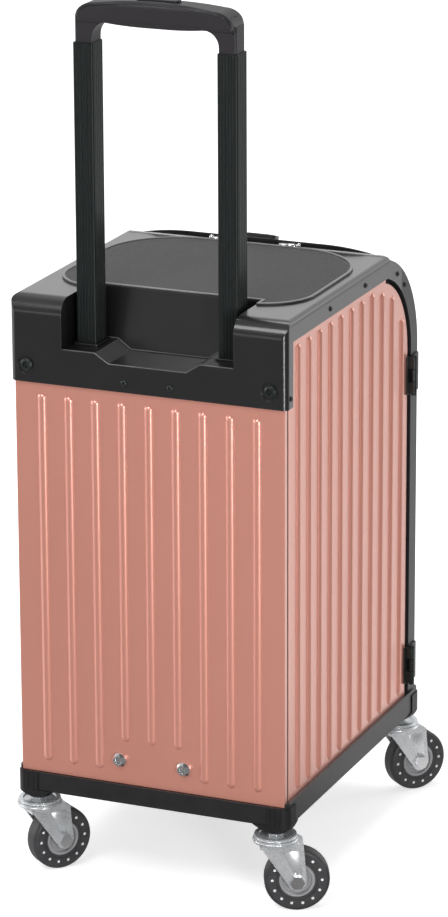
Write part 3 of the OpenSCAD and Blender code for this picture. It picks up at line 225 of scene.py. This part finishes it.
def chrome_finish(paint):
    haze = paint.noise(300, 3)
    return {
        "Base Color": paint.blend((0.76, 0.76, 0.78), (0.86, 0.86, 0.87), haze),
        "Roughness": 0.06 + haze * 0.08,
    }


def guide_finish(paint):
    streaks = paint.noise(500, 2, (1, 1, 0.03))
    return {
        "Base Color": paint.blend((0.60, 0.60, 0.62), (0.74, 0.74, 0.75), streaks),
        "Roughness": 0.25 + streaks * 0.15,
    }


rose = surface(
    "rose_aluminium", rose_finish, Metallic=0.55, Coat_Weight=1.0, Coat_Roughness=0.22, Coat_IOR=1.7
)
zinc = surface("zinc_plate", zinc_finish, Metallic=0.7)
chrome = surface("chrome", chrome_finish, Metallic=1.0, edge=0.3 * MM)
guide_metal = surface("guide_aluminium", guide_finish, Metallic=1.0)

# %% [markdown]
# ## Plastics and paint
# The black cover is a moulded plastic with a fine satin grain, and the rails are painted.
# Both are nearly black where they face the picture and grey where they are seen at a
# slant, which comes from the reflection alone, so their own colour stays very dark.


# %% Plastics and paint
def satin_plastic(dark, light, rough, depth):
    def finish(paint):
        cloud = paint.noise(30, 3)
        grain = paint.noise(2600, 2)
        return {
            "Base Color": paint.blend(dark, light, cloud),
            "Roughness": rough + cloud * 0.08 + grain * 0.05,
            "Normal": paint.bump(grain, depth * MM, 0.6),
        }

    return finish


def paint_finish(dark, light, rough):
    def finish(paint):
        cloud = paint.noise(60, 3)
        peel = paint.noise(700, 2)
        return {
            "Base Color": paint.blend(dark, light, cloud),
            "Roughness": rough + cloud * 0.1,
            "Normal": paint.bump(peel, 0.02 * MM, 0.5),
        }

    return finish


def tube_finish(paint):
    drawn = paint.noise(900, 2, (1, 1, 0.01))
    return {
        "Base Color": paint.blend((0.007, 0.009, 0.009), (0.016, 0.020, 0.019), drawn),
        "Roughness": 0.20 + drawn * 0.16,
        "Normal": paint.bump(drawn, 0.05 * MM, 0.5),
    }


cover_plastic = surface(
    "cover_plastic",
    satin_plastic((0.007, 0.007, 0.008), (0.011, 0.010, 0.011), 0.24, 0.03),
    edge=1.2 * MM,
    Coat_Weight=0.65,
    Coat_Roughness=0.14,
)
casting_plastic = surface(
    "casting_plastic",
    satin_plastic((0.010, 0.010, 0.011), (0.018, 0.018, 0.019), 0.34, 0.05),
    edge=0.7 * MM,
    Specular_IOR_Level=0.3,
)
grip_plastic = surface(
    "grip_plastic",
    satin_plastic((0.020, 0.018, 0.021), (0.028, 0.025, 0.029), 0.38, 0.03),
    edge=0.8 * MM,
    Specular_IOR_Level=0.35,
)
# a grey much paler than the cover: a painted highlight along the cover's lips
lip_plastic_painted_highlight = surface("lip_plastic_painted_highlight", satin_plastic((0.09, 0.09, 0.095), (0.16, 0.16, 0.165), 0.2, 0.01))
gloss_black = surface("gloss_black", satin_plastic((0.006, 0.006, 0.006), (0.010, 0.010, 0.010), 0.14, 0.01))
rail_paint = surface(
    "rail_paint",
    paint_finish((0.010, 0.010, 0.011), (0.020, 0.019, 0.021), 0.30),
    edge=0.8 * MM,
)
black_fitting = surface(
    "black_fitting",
    paint_finish((0.008, 0.010, 0.010), (0.05, 0.06, 0.058), 0.28),
    Metallic=0.5,
)
tube_paint = surface("tube_paint", tube_finish, edge=0.9 * MM, Specular_IOR_Level=0.18)
board = surface("board", satin_plastic((0.03, 0.03, 0.03), (0.05, 0.05, 0.05), 0.55, 0.1))
lining = surface("lining", satin_plastic((0.22, 0.22, 0.23), (0.28, 0.28, 0.29), 0.6, 0.12))
hub_plastic = surface("hub_plastic", satin_plastic((0.30, 0.30, 0.31), (0.40, 0.40, 0.41), 0.25, 0.03))
mark_plastic = surface("mark_plastic", satin_plastic((0.75, 0.75, 0.76), (0.82, 0.82, 0.82), 0.35, 0.02))

# %% [markdown]
# ## Rubber
# The tyres, the seal and the mat on the top are rubber. Rubber scatters light and has a
# broad, weak gloss, and the dust of the floor makes a tyre paler in patches.


# %% Rubber
def tyre_finish(paint):
    dust = paint.noise(120, 4)
    return {
        "Base Color": paint.blend((0.026, 0.026, 0.029), (0.060, 0.058, 0.061), dust),
        "Roughness": 0.36 + dust * 0.2,
        "Normal": paint.bump(paint.noise(1500, 2), 0.04 * MM, 0.5),
    }


tyre_rubber = surface("tyre_rubber", tyre_finish, edge=0.5 * MM, Specular_IOR_Level=0.4)
seal_rubber = surface("seal_rubber", satin_plastic((0.010, 0.010, 0.010), (0.016, 0.016, 0.016), 0.6, 0.08))
mat_rubber = surface(
    "mat_rubber",
    satin_plastic((0.040, 0.039, 0.041), (0.056, 0.054, 0.057), 0.42, 0.04),
    edge=0.2 * MM,
)
# a pale grey: a painted highlight along the mat's edge
rim_rubber_painted_highlight = surface("rim_rubber_painted_highlight", satin_plastic((0.20, 0.20, 0.205), (0.28, 0.28, 0.285), 0.35, 0.03))
# a pale grey: a painted highlight along the cover's front edge
seal_painted_highlight = surface("seal_painted_highlight", satin_plastic((0.58, 0.58, 0.59), (0.66, 0.66, 0.67), 0.4, 0.04))

# %% [markdown]
# ## A finish for every solid
# A solid keeps its own mesh. Its material slots are given the new material, so it stays
# where the frame put it.

# %% A finish for every solid
corners = ("rear_right", "rear_left", "front_left", "front_right")
finishes = {
    "back_panel side_panel_left side_panel_right door_panel": rose,
    "top_cover tube_collars door_cap catch_housing tube_end_plugs handle_foot": cover_plastic,
    "base_corners": casting_plastic,
    "base_frame front_frame door_rim": rail_paint,
    "handle_grip grip_button": grip_plastic,
    "handle_tube_left handle_tube_right": tube_paint,
    "guide_tube_left guide_tube_right": guide_metal,
    "top_mat": mat_rubber,
    "door_gasket corner_strips": seal_rubber,
    "cover_screws trim_screws door_screws hinge_leaves_case hinge_leaves_door hinge_pins": black_fitting,
    "rear_bolts catch_slider catch_tongue lock_pin_left lock_pin_right": chrome,
    "caster_mounts button_spring release_linkage": zinc,
    "floor_panel": board,
    "inner_lining door_lining": lining,
}
for corner in corners:
    finishes[f"fork_{corner}"] = zinc
    finishes[f"axle_{corner}"] = chrome
    finishes[f"tyre_{corner}"] = tyre_rubber
    finishes[f"hub_{corner}"] = hub_plastic

for names, material in finishes.items():
    for name in names.split():
        nodes[name].data.materials.clear()
        nodes[name].data.materials.append(material)
left_bare = set(nodes) - {name for names in finishes for name in names.split()}
print(f"solids with no finish: {sorted(left_bare)}")

# %% [markdown]
# ## Making a piece
# Every small piece below is drawn in a bmesh, Blender's editable mesh, and then becomes an
# object that rides on a body of the case. Its object stays at the origin, and the place is
# in the mesh, so a pattern in its material stays put when the body moves.


# %% Making a piece
BEVEL_STEPS = 2
SHARP = math.radians(40)  # a bevel rounds the edges that turn by more than this


def piece(name, mesh, material, body, bevel=0.0, smooth=True):
    """An object from a bmesh, with a finish and, where asked, rounded edges."""
    bmesh.ops.recalc_face_normals(mesh, faces=mesh.faces)
    for face in mesh.faces:
        face.smooth = smooth
    data = bpy.data.meshes.new(name)
    mesh.to_mesh(data)
    mesh.free()
    data.materials.append(material)
    made = bpy.data.objects.new(name, data)
    bpy.context.scene.collection.objects.link(made)
    if bevel:
        rounding = made.modifiers.new("rounding", "BEVEL")
        rounding.width = bevel
        rounding.segments = BEVEL_STEPS
        rounding.limit_method = "ANGLE"
        rounding.angle_limit = SHARP
    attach(made, body)
    return made


def bead(mesh, path, radius, sides=8):
    """A round bead along a line of points: a ring at each point, bridged to the next."""
    rings = []
    for index, point in enumerate(path):
        before = path[max(index - 1, 0)]
        after = path[min(index + 1, len(path) - 1)]
        turn = (after - before).to_track_quat("Z", "Y").to_matrix().to_4x4()
        made = bmesh.ops.create_circle(
            mesh, cap_ends=index in (0, len(path) - 1), segments=sides, radius=radius,
            matrix=Matrix.Translation(point) @ turn,
        )
        rings.append(list({edge for vert in made["verts"] for edge in vert.link_edges}))
    for one, two in zip(rings, rings[1:]):
        bmesh.ops.bridge_loops(mesh, edges=one + two)


def ring_bead(mesh, centre, axes, reach, height, radius, sides=8, steps=40):
    """A round bead in a full circle: a small circle spun about an axis."""
    across, along = axes
    place = Matrix((across, along, across.cross(along))).transposed().to_4x4()
    place.translation = centre + across * reach + along * height
    made = bmesh.ops.create_circle(mesh, segments=sides, radius=radius, matrix=place)
    edges = list({edge for vert in made["verts"] for edge in vert.link_edges})
    bmesh.ops.spin(
        mesh, geom=made["verts"] + edges, cent=centre, axis=along, dvec=(0, 0, 0),
        angle=2 * math.pi, steps=steps, use_merge=True, use_duplicate=False,
    )


# %% [markdown]
# ## The anti-slip mat
# The mat on the flat top is a sheet of rubber with raised diamonds and a rounded rim, whose pale grey is a
# painted highlight along the mat's edge.
# Its outline is read from the solid: the sides are cut away, the top is melted into one
# face, and an inset of that face gives the rim. The diamonds could be drawn by a bump, but
# seen this low they stand up against the light, so they are low four-sided cones, one row
# at a time, each row copied sideways by a spin with no angle.

# %% The mat's outline
RIM_WIDE = 2.6 * MM
RIM_TALL = 0.9 * MM
RIM_ROUND = 0.4 * MM
WELD = 0.001 * MM  # points closer than this are one point
LEVEL = math.radians(1)


def mat_top():
    mesh = bmesh.new()
    mesh.from_mesh(nodes["top_mat"].data)
    bmesh.ops.remove_doubles(mesh, verts=mesh.verts, dist=WELD)
    sides = [face for face in mesh.faces if face.normal.z < 0.9]
    bmesh.ops.delete(mesh, geom=sides, context="FACES")
    bmesh.ops.dissolve_limit(mesh, angle_limit=LEVEL, verts=mesh.verts, edges=mesh.edges)
    return mesh


rim = mat_top()
outline = [(edge.verts[0].co.copy(), edge.verts[1].co.copy()) for edge in rim.edges]
bmesh.ops.inset_region(
    rim, faces=rim.faces[:], thickness=RIM_WIDE, use_even_offset=True, use_boundary=True,
)
middle = max(rim.faces, key=lambda face: face.calc_area())
bmesh.ops.delete(rim, geom=[middle], context="FACES")
raised = bmesh.ops.extrude_face_region(rim, geom=rim.faces[:])["geom"]
raised = [vert for vert in raised if isinstance(vert, bmesh.types.BMVert)]
bmesh.ops.translate(rim, verts=raised, vec=(0, 0, RIM_TALL))
print(f"the mat's outline has {len(outline)} edges, and its rim {len(rim.faces)} faces")
# the rim is painted pale grey as a highlight along the mat's edge
piece("mat_rim", rim, rim_rubber_painted_highlight, "case", bevel=RIM_ROUND)

# %% The mat's diamonds
DIAMOND_PITCH = 4.4 * MM
DIAMOND_R = 1.8 * MM
DIAMOND_TALL = 0.7 * MM
DIAMOND_TIP = 0.2 * MM  # the radius of its flat top
DIAMOND_SUNK = 0.1 * MM
NEXT_PLACE = DIAMOND_PITCH * 1.5  # a wider step ends a run of diamonds


def inside(x, y, margin):
    """Whether a point lies in the mat's outline, at least a margin from its edge."""
    crossings = 0
    nearest = math.inf
    for one, two in outline:
        if (one.y > y) != (two.y > y) and x < one.x + (y - one.y) / (two.y - one.y) * (two.x - one.x):
            crossings += 1
        along = two - one
        share = ((x - one.x) * along.x + (y - one.y) * along.y) / along.length_squared
        spot = one + along * min(max(share, 0), 1)
        nearest = min(nearest, math.hypot(x - spot.x, y - spot.y))
    return crossings % 2 == 1 and nearest > margin


mat_low, mat_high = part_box("top_mat")
diamonds = bmesh.new()
margin = RIM_WIDE + DIAMOND_R
count = 0
for row in range(1, int((mat_high.y - mat_low.y) / DIAMOND_PITCH * 2)):
    y = mat_low.y + row * DIAMOND_PITCH / 2
    shift = DIAMOND_PITCH / 2 if row % 2 else 0.0
    beside = int(mat_high.x / DIAMOND_PITCH) + 1
    places = [shift + step * DIAMOND_PITCH for step in range(-beside, beside)]
    places = [x for x in places if inside(x, y, margin)]
    while places:
        run = 1
        while run < len(places) and places[run] - places[run - 1] < NEXT_PLACE:
            run += 1
        start = Vector((places[0], y, mat_high.z + DIAMOND_TALL / 2 - DIAMOND_SUNK))
        made = bmesh.ops.create_cone(
            diamonds, cap_ends=True, segments=4, radius1=DIAMOND_R, radius2=DIAMOND_TIP,
            depth=DIAMOND_TALL, matrix=Matrix.Translation(start),
        )
        faces = list({face for vert in made["verts"] for face in vert.link_faces})
        if run > 1:
            bmesh.ops.spin(
                diamonds, geom=faces, cent=(0, 0, 0), axis=(0, 0, 1), dvec=(DIAMOND_PITCH, 0, 0),
                angle=0, steps=run - 1, use_duplicate=True,
            )
        count += run
        places = places[run:]
piece("mat_diamonds", diamonds, mat_rubber, "case", smooth=False)
print(f"{count} diamonds")

# %% [markdown]
# ## Lips and lines of the moulded parts
# A moulded cover has a small rounded lip where it ends, which catches the light as a thin
# bright line; the lips here are also a paler grey than the cover, which paints that line on
# as a highlight. A pale seal runs along the cover's front edge, and its pale grey is a
# painted highlight on that edge. One lip runs along the stepped back edge of the handle's
# recess, a finer one where the recess's wall meets its floor, and one line is the joint
# between the two shells of the grip. A bevel on the whole cover would do some of them but
# would change the solid, so they are beads: a round section carried along a line of points.

# %% The cover's lips
cover_low, cover_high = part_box("top_cover")
foot_low, foot_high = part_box("tube_collars")
FLAT_Z = mat_low.z
SEAL_R = 1.1 * MM
recess_z = foot_low.z
RECESS_HALF = 85 * MM
DEEP_HALF = 39 * MM
SLOPE_WIDE = 14 * MM
DEEPER = 9 * MM
SKIRT_ROUND = 5 * MM

front_y = cover_low.y + SEAL_R
front_x = cover_high.x - SKIRT_ROUND
seal = bmesh.new()
bead(seal, [Vector((-front_x, front_y, FLAT_Z)), Vector((front_x, front_y, FLAT_Z))], SEAL_R)
# the front-edge bead is painted pale grey as a highlight
piece("cover_seal", seal, seal_painted_highlight, "case")

steps = [
    (-RECESS_HALF, 0.0), (-DEEP_HALF - SLOPE_WIDE, 0.0), (-DEEP_HALF, -DEEPER),
    (DEEP_HALF, -DEEPER), (DEEP_HALF + SLOPE_WIDE, 0.0), (RECESS_HALF, 0.0),
]
LIP_R = 0.8 * MM
FOOT_R = 0.6 * MM
WALL_Y = 110.4 * MM
WALL_LEAN = 12 / 56  # how far the wall leans back for each step down
back_y = cover_high.y - LIP_R
lips = bmesh.new()
bead(lips, [Vector((x, back_y, recess_z + drop - LIP_R / 2)) for x, drop in steps], LIP_R)
foot = [Vector((x, WALL_Y - drop * WALL_LEAN, recess_z + drop + FOOT_R / 2)) for x, drop in steps]
bead(lips, foot, FOOT_R)
# the lips are painted paler than the cover as a highlight
piece("cover_lips", lips, lip_plastic_painted_highlight, "case")
print(f"the lips go through {len(steps)} points each")

# %% The grip's joint line
grip_low, grip_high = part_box("handle_grip")
CROWN = 4 * MM
CORNER_R = 19 * MM
EDGE_R = 7 * MM
END_R = 6 * MM
INSET = 2.6 * MM
JOINT_R = 0.5 * MM
JOINT_SUNK = 0.1 * MM
BEND_STEP = 15  # degrees
CROWN_STEPS = 10
half = grip_high.x - CORNER_R
shoulder = grip_high.z - CROWN


def on_grip(x, z):
    """The point of the grip's back face at a width and a height."""
    over = max(z - (grip_high.z - EDGE_R), 0.0)
    beyond = max(abs(x) - (grip_high.x - END_R), 0.0)
    back_in = max(EDGE_R - math.sqrt(EDGE_R**2 - over**2), END_R - math.sqrt(END_R**2 - beyond**2))
    return Vector((x, grip_high.y - back_in - JOINT_SUNK, z))


path = []
reach = CORNER_R - INSET
for turn in range(0, 91, BEND_STEP):
    angle = math.radians(turn)
    path.append(on_grip(half + reach * math.cos(angle), shoulder - CORNER_R + reach * math.sin(angle)))
bend = list(path)
for step in range(CROWN_STEPS - 1, -CROWN_STEPS, -1):
    share = step / CROWN_STEPS
    path.append(on_grip(half * step / CROWN_STEPS, shoulder + CROWN * (1 - share**2) - INSET))
path += [Vector((-point.x, point.y, point.z)) for point in reversed(bend)]
line = bmesh.new()
bead(line, path, JOINT_R, sides=6)
piece("grip_line", line, gloss_black, "handle")
print(f"the grip's joint is drawn through {len(path)} points")

# %% [markdown]
# ## Casters
# Each wheel is a black tyre on a grey hub. The tyre's side has a ring of white dots, and
# the hub has raised rings. The dots fill the dimples of the solid: each is a low cone with
# twelve sides, set by an angle about the axle. The hub's rings and the rolled edges of the
# swivel are beads spun about their axis. The fork is pressed steel, and a raised rib runs
# down the outside of each leg, made from one face by insets.

# %% Wheels
DOTS = 14
DOT_CIRCLE = 23.5 * MM
DOT_R = 1.6 * MM
DOT_DEEP = 0.6 * MM
DOT_SUNK = 0.4 * MM
TYRE_HALF = 9 * MM
HUB_RINGS = ((15.4, 8.0), (11.4, 5.6))  # radius and distance from the middle, in millimetres
HUB_RING_R = 0.8 * MM
joints = {joint["name"]: joint for joint in frame["joints"]}


def wheel_axes(corner):
    """The middle of a wheel, the directions forward and up, and its axle's direction."""
    joint = joints[f"wheel_spin_{corner}"]
    axle = -Vector(joint["axis"]).normalized()
    up_way = Vector((0, 0, 1))
    return Vector(joint["pos_m"]), up_way.cross(axle), up_way, axle


for corner in corners:
    middle, forward, up_way, axle = wheel_axes(corner)
    marks = bmesh.new()
    for side in (-1, 1):
        facing = (axle * side).to_track_quat("Z", "Y").to_matrix().to_4x4()
        for index in range(DOTS):
            angle = 2 * math.pi * index / DOTS
            out = forward * math.cos(angle) + up_way * math.sin(angle)
            spot = middle + out * DOT_CIRCLE + axle * side * (TYRE_HALF - DOT_SUNK)
            bmesh.ops.create_cone(
                marks, cap_ends=True, segments=12, radius1=DOT_R, radius2=DOT_R * 0.75,
                depth=DOT_DEEP, matrix=Matrix.Translation(spot) @ facing,
            )
    piece(f"tyre_dots_{corner}", marks, mark_plastic, f"wheel_{corner}", smooth=False)
    rings = bmesh.new()
    for side in (-1, 1):
        for reach, height in HUB_RINGS:
            ring_bead(rings, middle, (forward, axle * side), reach * MM, height * MM, HUB_RING_R)
    piece(f"hub_rings_{corner}", rings, hub_plastic, f"wheel_{corner}")
print(f"{DOTS * 2} dots and 4 rings on each wheel")

# %% Swivels
CROWN_EDGE = (20.7 * MM, -2.2 * MM, 1.1 * MM)  # reach, height over the fork's top, radius
MOUNT_EDGE = (20.0 * MM, 0.9 * MM, 0.7 * MM)
LEG = ((5.5, 61.5), (21.5, 62.5), (24.5, 39.0), (17.0, 38.0))  # forward and up, in millimetres
LEG_OUT = TYRE_HALF + 4.0 * MM
RIB_WIDE = 2.2 * MM
RIB_TALL = 1.1 * MM
swivel_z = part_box("fork_rear_left")[1].z
upright = (Vector((1, 0, 0)), Vector((0, 0, 1)))


def turned_edge(mesh, centre, edge):
    """The rolled edge of a pressed plate, round the swivel's axis."""
    reach, height, radius = edge
    ring_bead(mesh, centre, upright, reach, swivel_z + height, radius)


for corner in corners:
    pivot = Vector(joints[f"caster_swivel_{corner}"]["pos_m"])
    centre = Vector((pivot.x, pivot.y, 0))
    lower = bmesh.new()
    turned_edge(lower, centre, CROWN_EDGE)
    forward, up_way, axle = wheel_axes(corner)[1:]
    for side in (-1, 1):
        face = axle * side
        base = centre + face * LEG_OUT
        made = [lower.verts.new(base + forward * x * MM + up_way * z * MM) for x, z in LEG]
        flat = lower.faces.new(made)
        flat.normal_update()
        if flat.normal.dot(face) < 0:
            flat.normal_flip()
        bmesh.ops.inset_individual(lower, faces=[flat], thickness=RIB_WIDE, depth=RIB_TALL)
    piece(f"swivel_trim_{corner}", lower, zinc, f"swivel_{corner}")
    upper = bmesh.new()
    turned_edge(upper, centre, MOUNT_EDGE)
    piece(f"mount_edge_{corner}", upper, zinc, "case")
print(f"the swivels turn {swivel_z / MM:.0f} mm up")

# %% [markdown]
# ## The catch's guides
# On each side of the catch a short bright bar with a round end lies in the step between the
# cover's flat top and the door's higher cap. The two bars guide the cap to its middle as
# the door shuts. They are beads with a ball at the outer end, and stay on the cover.

# %% Guide bars
BAR_R = 1.9 * MM
BAR_ENDS = (25.5 * MM, 45.5 * MM)
BAR_GAP = 0.2 * MM
BALL_R = 2.5 * MM
bar_y = front_y + SEAL_R + BAR_GAP
bars = bmesh.new()
for side in (-1, 1):
    ends = [Vector((side * x, bar_y, FLAT_Z + BAR_R)) for x in BAR_ENDS]
    bead(bars, ends, BAR_R, sides=12)
    ball = Matrix.Translation(ends[1] + Vector((0, 0, BALL_R - BAR_R)))
    bmesh.ops.create_uvsphere(bars, u_segments=12, v_segments=8, radius=BALL_R, matrix=ball)
piece("guide_bars", bars, chrome, "case")
print(f"the guide bars lie {bar_y / MM:.0f} mm along Y")

# %% [markdown]
# ## Light and floor
# The studio is plain: a pale floor, a white backdrop and large soft lamps. The key lamp
# stands beyond the front of the side panel, so that each rib there has a dark flank towards
# the back. A narrow upright lamp to the right of the camera draws a bright line down each
# rib of the back panel. A dim one near the floor, behind the camera, gives the rounded
# edge of the cover its soft band. In reflections the studio is white beyond the far side
# of the case, and dim towards the camera and beside the panel, and that gives the blacks
# their depth. The floor takes a share of the white too and keeps the shadow. For the
# camera it glows less near the case than further off, which is painted shade round the
# case on top of the real shadow. In reflections it glows white behind the case and is
# painted dark on the camera's side: a painted reflection of the room.


# %% Light and floor
ROOM_DARK = 0.24  # how bright the camera's side of the room is in a reflection
CEILING = 0.55  # how bright the ceiling is in a reflection
SOFT_LIGHT = 0.34  # how much light the room itself gives
TURN = 0.8  # how far the white part of the room is turned from straight behind the case
FLOOR_SIZE = 30  # half its width, in metres
CASE_MIDDLE = Vector((0, 0, 0.35))


def build_world():
    world = bpy.data.worlds.new("studio")
    bpy.context.scene.world = world
    paint = Paint(world)
    seen = paint.node("ShaderNodeLightPath", output="Is Camera Ray")
    shiny = paint.node("ShaderNodeLightPath", output="Is Glossy Ray")
    clear = paint.node("ShaderNodeLightPath", output="Is Transmission Ray")
    mirrored = shiny + clear
    way = paint.node("ShaderNodeTexCoord", output="Generated")
    across = paint.node("ShaderNodeSeparateXYZ", {}, {0: way}, output="X")
    to_camera = paint.node("ShaderNodeSeparateXYZ", {}, {0: way}, output="Y")
    to_ceiling = paint.node("ShaderNodeSeparateXYZ", {}, {0: way}, output="Z")
    dim_wall = paint.ramp(to_camera - across * TURN, -0.15, 0.30, 1.0, ROOM_DARK)
    dim_ceiling = paint.ramp(to_ceiling, 0.35, 0.80, 1.0, CEILING)
    lit = mirrored * dim_wall * dim_ceiling + (1 - mirrored) * SOFT_LIGHT
    strength = seen + (1 - seen) * lit
    shader = paint.node("ShaderNodeBackground", {}, {"Color": (1.0, 1.0, 1.0), "Strength": strength})
    paint.node("ShaderNodeOutputWorld", {}, {"Surface": shader})


def lamp(name, place, size, power):
    """A soft lamp that looks at the middle of the case."""
    data = bpy.data.lights.new(name, "AREA")
    data.shape = "RECTANGLE"
    data.size, data.size_y = size
    data.energy = power
    made = bpy.data.objects.new(name, data)
    made.location = place
    made.rotation_mode = "QUATERNION"
    made.rotation_quaternion = (Vector(place) - CASE_MIDDLE).to_track_quat("Z", "Y")
    bpy.context.scene.collection.objects.link(made)


def build_floor():
    mesh = bmesh.new()
    bmesh.ops.create_grid(mesh, x_segments=1, y_segments=1, size=FLOOR_SIZE)
    data = bpy.data.meshes.new("floor")
    mesh.to_mesh(data)
    mesh.free()
    floor = bpy.data.objects.new("floor", data)
    bpy.context.scene.collection.objects.link(floor)
    paint = Paint(bpy.data.materials.new("floor"))
    seen = paint.node("ShaderNodeLightPath", output="Is Camera Ray")
    mirrored = paint.node("ShaderNodeLightPath", output="Is Glossy Ray")
    here = paint.node("ShaderNodeTexCoord", output="Object")
    far = paint.node("ShaderNodeVectorMath", {"operation": "LENGTH"}, {0: here}, output="Value")
    across = paint.node("ShaderNodeSeparateXYZ", {}, {0: here}, output="X")
    along = paint.node("ShaderNodeSeparateXYZ", {}, {0: here}, output="Y")
    # painted light on the floor: a camera glow that is weaker near the case, which is painted shade round
    # it, and in reflections a glow behind the case and a painted dark colour on the camera's side
    cleared = paint.ramp(far, 0.25, 1.0)
    behind = paint.ramp(along - across * TURN, -0.1, 0.25, 1.0, 0.0)
    painted_floor_glow = seen * (0.60 + cleared * 0.36) + mirrored * behind * 0.2
    painted_dark_reflection = mirrored * (1 - behind)
    sockets = {
        "Base Color": paint.blend((0.86, 0.86, 0.86), (ROOM_DARK, ROOM_DARK, ROOM_DARK), painted_dark_reflection),
        "Roughness": 0.9,
        "Specular IOR Level": 0.0,
        "Emission Color": paint.blend((0.0, 0.0, 0.0), (1.0, 1.0, 1.0), painted_floor_glow),
        "Emission Strength": 1.0,
    }
    shader = paint.node("ShaderNodeBsdfPrincipled", {}, sockets)
    paint.node("ShaderNodeOutputMaterial", {}, {"Surface": shader})
    data.materials.append(paint.owner)


build_world()
build_floor()
lamp("key", (-1.7, -1.8, 1.1), (1.0, 1.3), 9)
lamp("rib_strip", (-1.10, 1.35, 0.42), (0.28, 0.84), 12)
lamp("over_camera", (0.3, 2.0, 2.4), (1.5, 0.9), 31)
lamp("low_behind", (1.1, 2.6, 0.50), (1.5, 0.30), 2.2)
lamp("low_fill", (2.6, 0.6, 0.8), (1.0, 1.2), 12)
lamp("overhead", (0.1, -0.6, 2.5), (1.4, 0.8), 14)
bpy.context.scene.view_settings.view_transform = "Standard"
print(f"{len(bpy.data.lights)} lamps")
